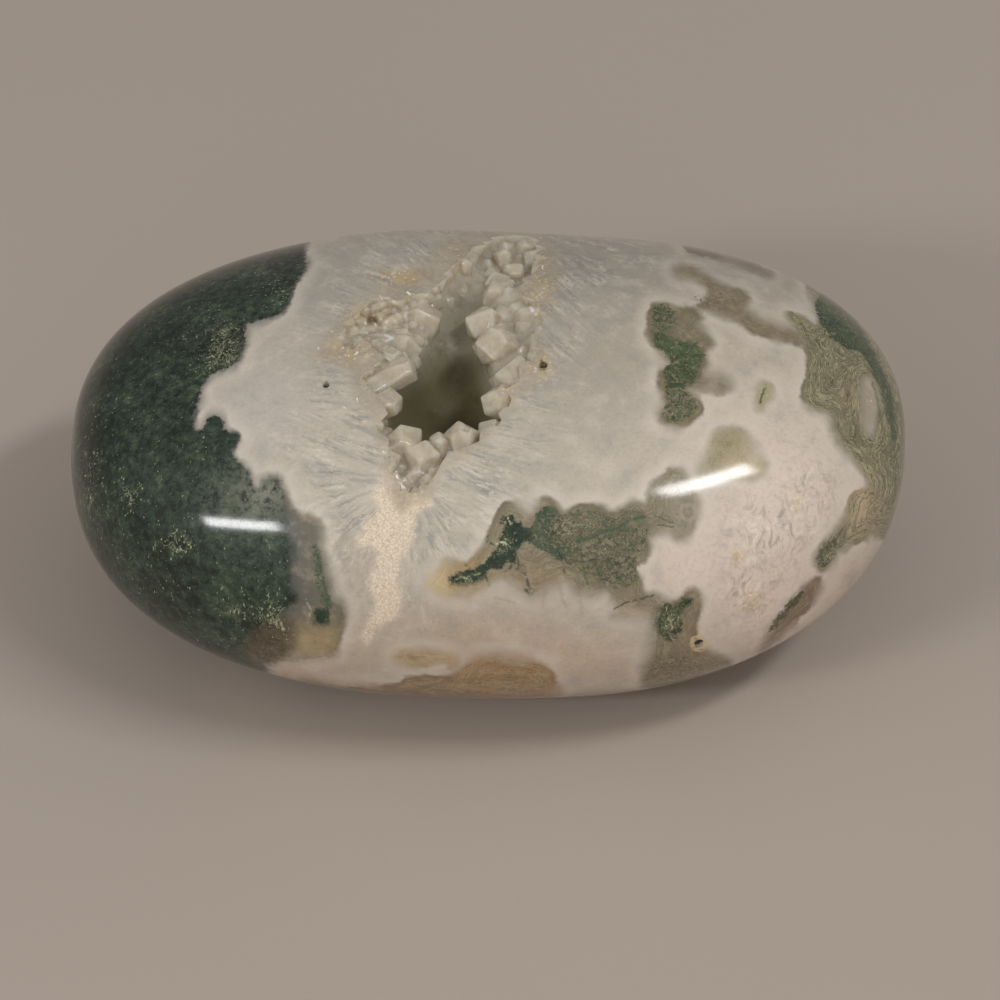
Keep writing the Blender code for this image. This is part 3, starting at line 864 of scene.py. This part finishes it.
def depth_inside(places, outline):
    """How far places in the photo are inside a closed outline, in millimetres. Outside it is negative."""
    loop = smooth_loop(np.array(outline, dtype=float))
    loop = np.vstack((loop, loop[:1]))
    x, y = places.T
    inside = np.zeros(len(places), dtype=bool)
    for (ax, ay), (bx, by) in zip(loop[:-1], loop[1:]):
        crosses = (ay > y) != (by > y)
        slope = (bx - ax) / (by - ay) if by != ay else 0.0
        inside ^= crosses & (x < ax + (y - ay) * slope)
    distance = distance_to_line(places, loop)
    return np.where(inside, distance, -distance)


def linear(colour):
    """A colour as a picture shows it, 0 to 255, as the light that it stands for."""
    shares = np.array(colour, dtype=float) / 255
    return np.where(shares <= 0.04045, shares / 12.92, ((shares + 0.055) / 1.055) ** 2.4)


def merge(patches, depths):
    """The depth inside the nearest patch, and the patches' colour and detail, blended where they meet."""
    weights = np.exp(np.clip(depths, -BLEND_LIMIT, BLEND_LIMIT) * BLEND_SHARPNESS)
    weights /= weights.sum(axis=0)
    colours = np.array([linear(patch.colour) for patch in patches])
    details = np.array([patch.detail for patch in patches])
    return depths.max(axis=0), weights.T @ colours, weights.T @ details


def photo_depths(patches, places):
    return np.array([depth_inside(places, patch.outline) + patch.grow for patch in patches])


def ball_depths(points):
    """How far points are inside the hidden balls of moss, which noise makes lobed."""
    lobes = np.array([noise.fractal(Vector(point) / LOBE_SIZE, 1.0, 2.0, 3) for point in points]) * LOBES
    gaps = [np.linalg.norm(points - (ball.x, ball.y, ball.z), axis=1) for ball in HIDDEN_MOSS]
    return np.array([ball.radius + lobes - gap for ball, gap in zip(HIDDEN_MOSS, gaps)])


def soft_spot(places, x, y, width, height, share):
    """How much one soft spot covers each place."""
    offset = (places - (x, y)) / (width, height)
    return share * np.exp(-(offset**2).sum(axis=1))


def tinted(colours, spots, places):
    """The colours with each soft spot laid over them in turn."""
    for *spot, colour in spots:
        colours = colours + soft_spot(places, *spot)[:, None] * (linear(colour) - colours)
    return colours


def spotted(spots, places):
    """How much soft spots cover each place, from 0 to 1."""
    bare = np.ones(len(places))
    for spot in spots:
        bare *= 1 - soft_spot(places, *spot)
    return 1 - bare


def wobbled(points, places):
    """Places in the photo moved a little, so that threads, painted glints and rings aren't drawn too evenly.
    """
    noise.seed_set(THREAD_SEED)
    shifts = np.array([noise.noise_vector(Vector(point) / THREAD_BEND)[:2] for point in points])
    return places + shifts * THREAD_WOBBLE


def thread_and_glint_lines():
    """Each thread, painted glint and ring as a line of pixels, its half width in millimetres, its share and
    its colour.
    """
    lines = [
        (np.array(points, dtype=float), half_width, share, colour)
        for colour, strands in THREADS_AND_GLINTS for half_width, share, *points in strands
    ]
    turns = np.linspace(0, math.tau, RING_STEPS)
    for ring in RINGS:
        spokes = np.stack((np.cos(turns), np.sin(turns)), axis=-1) * ring.radius * PIXELS_PER_MM
        lines.append((spokes + (ring.x, ring.y), ring.half_width, ring.share, ring.colour))
    return lines


def threads(places):
    """How much the threads and painted glints cover each place, and their colour there."""
    cover = np.zeros(len(places))
    colours = np.zeros((len(places), 3))
    for line, half_width, share, colour in thread_and_glint_lines():
        start, full = (-half_width * edge for edge in THREAD_EDGE)
        near = step(start, full, -distance_to_line(places, line)) * share
        colours += near[:, None] * (linear(colour) - colours)
        cover = cover + near * (1 - cover)
    return cover, colours / np.maximum(cover, TINY)[:, None]


def refine(thing):
    """Splits the polished faces near the threads and painted glints, so that their vertices can draw them."""
    bm = bmesh.new()
    bm.from_mesh(thing.data)
    for reach in REFINE_REACHES:
        points = np.array([vert.co for vert in bm.verts])
        places = in_photo(points)
        near = np.min([distance_to_line(places, line) for line, *_ in thread_and_glint_lines()], axis=0)
        on_polish = np.abs(depth_below_polish(points)) < POLISH_DEPTH
        chosen = on_polish & (near < reach) & (points @ FACE_AXES[2] > 0)
        edges = [edge for edge in bm.edges if all(chosen[vert.index] for vert in edge.verts)]
        made = bmesh.ops.subdivide_edges(bm, edges=edges, cuts=1)["geom_inner"]
        for vert in (part for part in made if isinstance(part, bmesh.types.BMVert)):
            vert.co *= float(body_radius(np.array(vert.co.normalized()))) / vert.co.length
        bmesh.ops.triangulate(bm, faces=[face for face in bm.faces if len(face.verts) > 3])
        bm.verts.index_update()
    bm.to_mesh(thing.data)
    bm.free()


def fan_about_vug(places):
    """A coordinate drawn out along the fibres, which stand off the vug on all sides, and their reach."""
    nearest = np.full(len(places), np.inf)
    shifts = np.zeros((len(places), 2))
    for shift in shifts_from(places, np.array(VUG_SPINE, dtype=float)):
        gap = np.linalg.norm(shift, axis=1)
        closer = gap < nearest
        nearest[closer] = gap[closer]
        shifts[closer] = shift[closer]
    outward = shifts / np.maximum(nearest, TINY)[:, None]
    root = (places - shifts) / PIXELS_PER_MM + outward * FIBRE_RADIUS
    reach = nearest / PIXELS_PER_MM
    return np.column_stack((root, reach * FIBRE_STRETCH)), reach


def add_attributes(mesh, kind, field, named_values):
    for name, values in named_values.items():
        attribute = mesh.attributes.new(name, kind, "POINT")
        attribute.data.foreach_set(field, np.ascontiguousarray(values, dtype=np.float32).ravel())


def vertex_points(mesh):
    points = np.empty(len(mesh.vertices) * 3)
    mesh.vertices.foreach_get("co", points)
    return points.reshape(-1, 3)


def mark(thing):
    """Works out the markings at each vertex, as seen in the photo or, behind, as guessed."""
    points = vertex_points(thing.data)
    places = in_photo(points)
    outward = points / HALF_SIZES**2
    outward /= np.linalg.norm(outward, axis=1)[:, None]
    seen = step(*VIEW_FADE, outward @ FACE_AXES[2])

    def fade(shown, hidden):
        """What the photo shows where the photo sees it, and the guess behind."""
        share = seen[:, None] if np.ndim(shown) == 2 else seen
        return share * shown + (1 - share) * hidden

    island = -np.array([depth_inside(places, outline) for outline in ISLANDS]).max(axis=0)
    halo, halo_colour, curl = merge(HALOS, photo_depths(HALOS, places))
    depths = photo_depths(MOSSES, places)
    depths[0] = np.minimum(depths[0], -depth_inside(places, LEFT_CLEARING))
    moss, moss_colour, dense = merge(MOSSES, depths)
    ball, ball_colour, ball_dense = merge(HIDDEN_MOSS, ball_depths(points))
    ground = tinted(np.tile(linear(GROUND), (len(places), 1)), GROUND_TONE_AND_LIGHT_SPOTS, places)
    fan, reach = fan_about_vug(places)
    # The thread attributes carry the painted glints as well as the threads.
    thread, thread_and_glint_colour = threads(wobbled(points, places))
    colours = {
        "ground": fade(ground, linear(GROUND)),
        "halo_colour": fade(tinted(halo_colour, HALO_SPOTS, places), linear(HIDDEN_HALO_COLOUR)),
        "moss_colour": fade(tinted(moss_colour, MOSS_TONE_AND_SHADE_SPOTS, places), ball_colour),
        "thread_and_glint_colour": thread_and_glint_colour,
    }
    add_attributes(thing.data, "FLOAT", "value", {
        "halo": fade(np.minimum(halo, island), ball + HIDDEN_HALO),
        "moss": fade(np.minimum(moss, island), ball),
        "curl": fade(curl, HIDDEN_CURL),
        "dense": fade(dense, ball_dense),
        "seam": fade(depth_inside(places, SEAM), -FAR),
        "druse": fade(depth_inside(places, DRUSE), -FAR),
        "reach": fade(reach, FAR),
        "flecks": spotted(FLECK_SPOTS, places) * seen,
        "stain_and_glints": spotted(STAIN_AND_GLINT_SPOTS, places) * seen,
        "drusy": spotted(DRUSY_SPOTS, places) * seen,
        "soft": spotted(SOFT_SPOTS, places) * seen,
        "thread": thread * seen,
        "under": depth_below_polish(points),
    })
    add_attributes(thing.data, "FLOAT_VECTOR", "vector", {"fan": fan})
    opaque = np.ones(len(points))
    add_attributes(thing.data, "FLOAT_COLOR", "color", {
        name: np.column_stack((colour, opaque)) for name, colour in colours.items()
    })


class Nodes:
    """A tree of shader nodes. Each is made by one call that links or sets its inputs."""

    def __init__(self, tree):
        self.tree = tree

    def put(self, socket, value):
        """Links a socket or sets it. Colours are given as a picture shows them."""
        if isinstance(value, bpy.types.NodeSocket):
            self.tree.links.new(value, socket)
        elif socket.type == "RGBA":
            socket.default_value = (*linear(value), 1.0)
        else:
            socket.default_value = value

    def add(self, kind, inputs, **settings):
        """Makes a node, with its inputs by their names or numbers, and gives its outputs."""
        node = self.tree.nodes.new("ShaderNode" + kind)
        for name, value in settings.items():
            setattr(node, name, value)
        for name, value in inputs.items():
            self.put(node.inputs[name], value)
        return node.outputs

    def maths(self, operation, *values):
        return self.add("Math", dict(enumerate(values)), operation=operation)[0]

    def vector(self, operation, *values, output="Vector"):
        return self.add("VectorMath", dict(enumerate(values)), operation=operation)[output]

    def times(self, first, *others):
        for other in others:
            first = self.maths("MULTIPLY", first, other)
        return first

    def plus(self, first, *others):
        for other in others:
            first = self.maths("ADD", first, other)
        return first

    def swing(self, value, size):
        """A noise value turned into a change of that size either way."""
        return self.times(self.maths("SUBTRACT", value, 0.5), 2 * size)

    def ramp(self, value, low, high, bottom=0.0, top=1.0):
        """The bottom where the value is low, the top where it is high, and smooth between them."""
        ends = {"Value": value, "From Min": low, "From Max": high, "To Min": bottom, "To Max": top}
        return self.add("MapRange", ends, interpolation_type="SMOOTHSTEP")[0]

    def line(self, value, width):
        """1 along the thin curves where a noise value is near its middle, and 0 beside them."""
        return self.ramp(self.maths("ABSOLUTE", self.maths("SUBTRACT", value, 0.5)), width, width / 4)

    def cells(self, place, scale, feature="F1"):
        return self.add("TexVoronoi", {"Vector": place, "Scale": scale}, feature=feature)

    def facets(self, place, scale):
        """A height that leans its own way in each cell, so that a bump makes flat facets of it."""
        cells = self.cells(place, scale)
        offset = self.vector("SUBTRACT", place, cells["Position"])
        lean = self.vector("SUBTRACT", cells["Color"], (0.5, 0.5, 0.5))
        return self.vector("DOT_PRODUCT", offset, lean, output="Value")

    def mix(self, share, under, over):
        return self.add("Mix", {0: share, 6: under, 7: over}, data_type="RGBA")[2]

    def lay(self, skin, colour, *shares):
        """A colour over the skin, as much as all the shares together let it."""
        return self.mix(self.times(*shares), skin, colour)

    def layers(self, skin, *rows):
        """Colours over the skin in turn: each a colour, a value, where that is low and high, and shares."""
        for colour, value, low, high, *shares in rows:
            skin = self.lay(skin, colour, self.ramp(value, low, high), *shares)
        return skin


class Paint(Nodes):
    """The nodes of a material."""

    def __init__(self, name):
        self.material = bpy.data.materials.new(name)
        self.material.use_nodes = True
        super().__init__(self.material.node_tree)
        self.surface = self.tree.nodes["Principled BSDF"]
        coordinates = self.add("TexCoord", {})["Object"]
        self.place = self.add("VectorMath", {0: coordinates, "Scale": 1 / MM}, operation="SCALE")[0]

    def attribute(self, name, output="Fac"):
        return self.add("Attribute", {}, attribute_name=name)[output]

    def noise(self, scale, detail=2.0, roughness=0.5, distortion=0.0, place=None):
        settings = {"Scale": scale, "Detail": detail, "Roughness": roughness, "Distortion": distortion}
        settings["Vector"] = self.place if place is None else place
        return self.add("TexNoise", settings)["Fac"]

    def bump(self, height, distance, strength):
        sockets = {"Height": height, "Distance": distance, "Strength": strength}
        self.put(self.surface.inputs["Normal"], self.add("Bump", sockets)[0])

    def set(self, **values):
        for name, value in values.items():
            self.put(self.surface.inputs[name.replace("_", " ")], value)


def paint_ground(paint, broad, fine, grain):
    """Milky chalcedony: bluish and cream clouds, a fine grain, and the fibres that stand off the vug."""
    fan = paint.attribute("fan", "Vector")
    warped = paint.vector("ADD", fan, paint.swing(paint.noise(0.7, 3, 0.6), 0.35))
    plume = paint.noise(1.5, 3, 0.65, 0.4, place=warped)
    fibre = paint.noise(4.2, 2, 0.7, 0.3, place=warped)
    reach = paint.plus(paint.attribute("reach"), paint.swing(broad, 3.0))
    near = paint.ramp(reach, FIBRE_REACH[1], FIBRE_REACH[0])
    patchy = paint.times(near, paint.ramp(paint.noise(0.45, 2, 0.5), 0.36, 0.6))
    strokes = paint.noise(1.2, 4, 0.7, 1.0, place=paint.vector("MULTIPLY", paint.place, (1.0, 0.6, 0.6)))
    drusy = paint.attribute("drusy")
    return paint.layers(
        paint.attribute("ground", "Color"),
        ((150, 149, 146), broad, 0.5, 0.72, 0.4),
        ((212, 202, 188), broad, 0.5, 0.3, 0.35),
        ((156, 150, 140), fine, 0.45, 0.72, 0.25),
        ((216, 206, 190), grain, 0.55, 0.75, 0.25),
        ((136, 138, 136), plume, 0.52, 0.34, near, 0.45),
        ((206, 198, 186), plume, 0.54, 0.7, near, 0.4),
        ((124, 127, 126), fibre, 0.5, 0.34, patchy, 0.55),
        ((218, 210, 198), fibre, 0.52, 0.68, patchy, 0.6),
        ((146, 136, 126), strokes, 0.5, 0.38, drusy, 0.65),
        ((232, 220, 206), strokes, 0.55, 0.64, drusy, 0.7),
    )


def paint_seam(paint, skin, fine, grain):
    """The sugary cream seam below the vug."""
    seam = paint.plus(paint.attribute("seam"), paint.swing(paint.noise(0.9, 4, 0.7), 0.9))
    sugar = paint.layers(
        (212, 194, 170),
        ((242, 226, 206), grain, 0.35, 0.7),
        ((186, 168, 142), fine, 0.5, 0.3, 0.7),
    )
    return paint.layers(skin, (sugar, seam, -0.35, 0.5, 0.8))


def paint_druse(paint, skin, fine):
    """The quartz blocks that the polish cuts through, and iron stains with painted glints, small bright
    cells, in them.
    """
    edge = paint.plus(paint.attribute("druse"), paint.swing(paint.noise(0.8, 4, 0.7), 0.9))
    warped = paint.vector("ADD", paint.place, paint.swing(fine, 0.12))
    quartz = paint.layers(
        (158, 147, 130),
        ((178, 166, 148), paint.cells(warped, 0.9, "SMOOTH_F1")["Color"], 0.2, 0.8),
        ((190, 179, 160), fine, 0.45, 0.65, 0.5),
    )
    stain_and_glints = paint.attribute("stain_and_glints")
    return paint.layers(
        skin,
        (quartz, edge, -0.4, 0.7, 0.8),
        ((198, 168, 108), paint.noise(1.6, 4, 0.75), 0.42, 0.58, stain_and_glints, 0.75),
        # Painted glints: the brightest small cells laid as white colour in the stains
        ((248, 240, 222), paint.cells(paint.place, 5.5)["Color"], 0.8, 0.82, stain_and_glints, 0.7),
    )


def paint_halo(paint, skin):
    """A pale band outside each halo, a soft dark edge, and lines inside that follow the edge."""
    halo = paint.plus(paint.attribute("halo"), paint.swing(paint.noise(1.2, 3, 0.6), 0.3))
    base = paint.attribute("halo_colour", "Color")
    pale = paint.mix(0.4, base, (184, 172, 142))
    dark = paint.mix(0.45, base, (82, 78, 62))
    cloud = paint.noise(0.9, 3, 0.65)
    curl = paint.attribute("curl")
    along = paint.vector("MULTIPLY", paint.place, (0.5, 0.5, 0.5))
    along = paint.vector("ADD", along, paint.times(halo, 2.0))
    bands = paint.noise(0.9, 2, 0.6, 0.3, place=along)
    colour = paint.layers(
        base,
        (pale, cloud, 0.5, 0.7, 0.7),
        (dark, cloud, 0.5, 0.3, 0.6),
        (dark, bands, 0.5, 0.64, curl, 0.75),
        (pale, bands, 0.5, 0.36, curl, 0.6),
    )
    inner = paint.ramp(halo, 0.15, 0.4)
    contours = ((1.2, 0.9, (176, 172, 136)), (1.6, 0.8, (66, 72, 52)))
    for scale, share, tone in contours:
        line = paint.line(paint.noise(scale, 2, 0.6, 0.6, place=along), 0.045)
        colour = paint.lay(colour, tone, line, inner, curl, share)
    colour = paint.layers(colour, (dark, halo, 0.45, 0.1, 0.4))
    softness = paint.ramp(paint.noise(0.28, 2, 0.5), 0.35, 0.68)
    width = paint.plus(paint.times(softness, 0.6), paint.times(paint.attribute("soft"), 1.1), 0.12)
    return paint.layers(
        skin,
        ((214, 204, 192), halo, -1.3, -0.1, 0.45),
        (colour, halo, paint.times(width, -1.0), width),
    )


def paint_moss(paint, skin):
    """Mottled green threads with ragged edges, and bright flecks in clusters."""
    feather = paint.noise(2.4, 4, 0.75)
    moss = paint.plus(paint.attribute("moss"), paint.swing(feather, 0.55))
    dense = paint.attribute("dense")
    colour = paint.attribute("moss_colour", "Color")
    dark = paint.lay(colour, (14, 20, 16), dense, 0.85)
    light = paint.mix(0.5, colour, (112, 122, 96))
    broad = paint.swing(paint.noise(0.25, 3, 0.6), 0.2)
    tone = paint.plus(paint.noise(1.5, 5, 0.8, 0.3), broad)
    mossy = paint.layers(dark, (colour, tone, 0.36, 0.58), (light, tone, 0.54, 0.7, 0.75))
    cover = paint.ramp(paint.plus(paint.noise(3.0, 3, 0.75, 1.2), dense), 0.9, 1.06)
    width = paint.plus(0.1, paint.times(paint.attribute("soft"), 0.7))
    skin = paint.layers(skin, (mossy, moss, paint.times(width, -1.0), width, cover))

    often = paint.plus(paint.attribute("flecks"), paint.swing(paint.noise(0.5, 3, 0.6), 0.9), -0.15)
    fleck = paint.noise(4.2, 2, 0.75, place=paint.vector("MULTIPLY", paint.place, (1.0, 1.0, 0.5)))
    fleck = paint.ramp(paint.plus(fleck, paint.times(often, 0.1)), 0.66, 0.72)
    thread = paint.line(paint.noise(1.1, 3, 0.65, 1.2), 0.024)
    thread = paint.times(thread, paint.ramp(often, 0.35, 0.8), 0.9)
    bright = paint.maths("MAXIMUM", fleck, thread)
    return paint.lay(skin, (172, 176, 140), bright, paint.ramp(moss, 0.05, 0.3), 0.8)


def paint_agate():
    paint = Paint("polished agate")
    broad = paint.noise(0.55, 4, 0.6)
    fine = paint.noise(3.2, 2, 0.65)
    grain = paint.noise(8.0, 1, 0.6)
    skin = paint_ground(paint, broad, fine, grain)
    skin = paint_seam(paint, skin, fine, grain)
    skin = paint_druse(paint, skin, fine)
    skin = paint_halo(paint, skin)
    skin = paint_moss(paint, skin)
    # Threads, pit stains and painted glints, from the thread attributes
    thread_and_glint_colour = paint.attribute("thread_and_glint_colour", "Color")
    skin = paint.layers(
        skin,
        (thread_and_glint_colour, paint.noise(2.6, 2, 0.6, 0.5), 0.36, 0.5, paint.attribute("thread")),
        ((62, 50, 34), paint.attribute("under"), 0.06, 0.25),
    )
    paint.set(Base_Color=skin, IOR=1.54, Specular_IOR_Level=0.4)
    paint.set(Roughness=paint.plus(0.07, paint.times(fine, 0.1)))
    paint.bump(grain, 0.003 * MM, 0.4)
    return paint.material


def paint_quartz():
    """Milky crystals, stained here and there, and the smooth olive wall of the chamber behind them, darker
    deeper down: partly its own colour, partly painted shade.
    """
    paint = Paint("milky quartz")
    under = paint.attribute("under")
    stain_and_glints = paint.attribute("stain_and_glints")
    milk = paint.layers(
        (198, 186, 166),
        ((218, 207, 188), paint.noise(1.1, 4, 0.6), 0.35, 0.65),
        ((196, 170, 118), paint.noise(1.6, 4, 0.75), 0.42, 0.58, stain_and_glints, 0.5),
    )
    # The wall's olive colour darkens from 2 to 6 mm below the polish: partly its own colour, partly painted
    # shade deep in the vug.
    wall = paint.layers(
        (182, 175, 158),
        ((134, 126, 94), under, 2.0, 6.0),
        ((122, 106, 74), paint.noise(0.8, 5, 0.7), 0.5, 0.7, 0.5),
    )
    skin = paint.layers(milk, (wall, under, 1.4, 3.0))
    # Painted glints and pit stains, from the thread attributes
    skin = paint.lay(skin, paint.attribute("thread_and_glint_colour", "Color"), paint.attribute("thread"))
    paint.set(Base_Color=skin, IOR=1.54, Transmission_Weight=0.25, Specular_IOR_Level=0.35)
    paint.set(Roughness=paint.plus(0.13, paint.times(paint.ramp(under, 2.5, 4.5), 0.5)))
    paint.set(Subsurface_Weight=1.0, Subsurface_Scale=2.5 * MM, Subsurface_Radius=(1.0, 0.88, 0.7))
    rough = paint.times(paint.noise(5.0, 3, 0.6), 0.015)
    sugary = paint.plus(0.15, paint.times(stain_and_glints, paint.ramp(under, 2.5, 1.5)))
    paint.bump(paint.plus(rough, paint.times(paint.facets(paint.place, 2.2), sugary)), MM, 0.8)
    return paint.material


def paint_floor():
    paint = Paint("pale floor")
    tone = paint.mix(paint.noise(0.01), (172, 160, 150), (178, 166, 156))
    paint.set(Base_Color=tone, Roughness=0.7)
    return paint.material


def finish_piece(thing, middle, *materials):
    """Puts a piece that was built in millimetres where the solids are."""
    mesh = thing.data
    mesh.transform(Matrix.Translation(middle) @ Matrix.Scale(MM, 4))
    mesh.shade_smooth()
    mesh.set_sharp_from_angle(angle=SHARP_EDGE)
    mesh.materials.clear()
    for surface in materials:
        mesh.materials.append(surface)


def polished_faces(mesh):
    """For each face, 1 where it lies on the polish and 0 where it doesn't."""
    on_polish = depth_below_polish(vertex_points(mesh)) < POLISH_DEPTH
    return [int(all(on_polish[corner] for corner in face.vertices)) for face in mesh.polygons]


def stone_middle(stone):
    """Where the stone's middle is in the frame: over the origin, with its underside at the floor."""
    corners = vertex_points(stone.data)
    low, high = corners.min(axis=0), corners.max(axis=0)
    return Vector((-(low[0] + high[0]) / 2, -(low[1] + high[1]) / 2, -low[2])) * MM


def toward(azimuth, elevation):
    """A direction, by its degrees to the right of the stone's front and above level."""
    turn, rise = math.radians(azimuth), math.radians(elevation)
    return Vector((math.sin(turn) * math.cos(rise), -math.cos(turn) * math.cos(rise), math.sin(rise)))


def add_floor():
    bm = bmesh.new()
    bmesh.ops.create_grid(bm, x_segments=1, y_segments=1, size=FLOOR_HALF)
    floor = new_object("floor", bm)
    floor.data.materials.append(paint_floor())


def add_camera(middle):
    camera = add_to_scene("camera", bpy.data.cameras.new("camera"))
    turn = Matrix([Vector(axis) for axis in FACE_AXES]).transposed().to_4x4()
    camera.matrix_world = Matrix.Translation(middle + Vector(FACE_AXES[2]) * VIEW_DISTANCE * MM) @ turn
    camera.data.sensor_width = SENSOR_WIDTH
    camera.data.lens = PIXELS_PER_MM * VIEW_DISTANCE * SENSOR_WIDTH / PHOTO_SIZE
    camera.data.shift_x = (PHOTO_SIZE / 2 - PHOTO_MIDDLE[0]) / PHOTO_SIZE
    camera.data.shift_y = (PHOTO_MIDDLE[1] - PHOTO_SIZE / 2) / PHOTO_SIZE
    camera.data.clip_start = CLIP_START
    bpy.context.scene.camera = camera


def add_lamps(middle):
    """Two soft strips, each from one direction to another, where the polish reflects the photo's lamps."""
    for number, lamp in enumerate(LAMPS):
        start, end = (toward(*ends) * LAMP_DISTANCE for ends in (lamp.start, lamp.end))
        centre = (start + end) / 2
        along = (end - start).normalized()
        back = centre.normalized()
        light = bpy.data.lights.new(f"lamp {number}", "AREA")
        light.shape = "RECTANGLE"
        light.size = (end - start).length
        light.size_y = lamp.width
        light.energy = lamp.power
        turn = Matrix((along, back.cross(along), back)).transposed().to_4x4()
        add_to_scene(light.name, light).matrix_world = Matrix.Translation(middle + centre) @ turn


def light_the_room():
    """A soft room that is brighter in front of the stone than behind it."""
    world = bpy.data.worlds.new("studio")
    world.use_nodes = True
    nodes = Nodes(world.node_tree)
    around = nodes.add("TexCoord", {})["Generated"]
    facing = nodes.vector("DOT_PRODUCT", around, toward(*ROOM_FRONT), output="Value")
    background = world.node_tree.nodes["Background"]
    background.inputs["Color"].default_value = ROOM_COLOUR
    nodes.put(background.inputs["Strength"], nodes.ramp(facing, *ROOM_FADE, *ROOM_LIGHT))
    bpy.context.scene.world = world
    bpy.context.scene.view_settings.view_transform = "Standard"


stone, crust = make_stone_and_crust()
middle = stone_middle(stone)
refine(stone)
refine(crust)
polished = polished_faces(crust.data)
mark(stone)
mark(crust)
agate, quartz = paint_agate(), paint_quartz()
finish_piece(stone, middle, agate)
finish_piece(crust, middle, quartz, agate)
crust.data.polygons.foreach_set("material_index", polished)
for piece, node, slot in ((stone, "stone", "polished_agate"), (crust, "quartz_crust", "quartz")):
    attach(piece, "root")
    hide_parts(node)
add_floor()
add_camera(middle)
add_lamps(middle)
light_the_room()
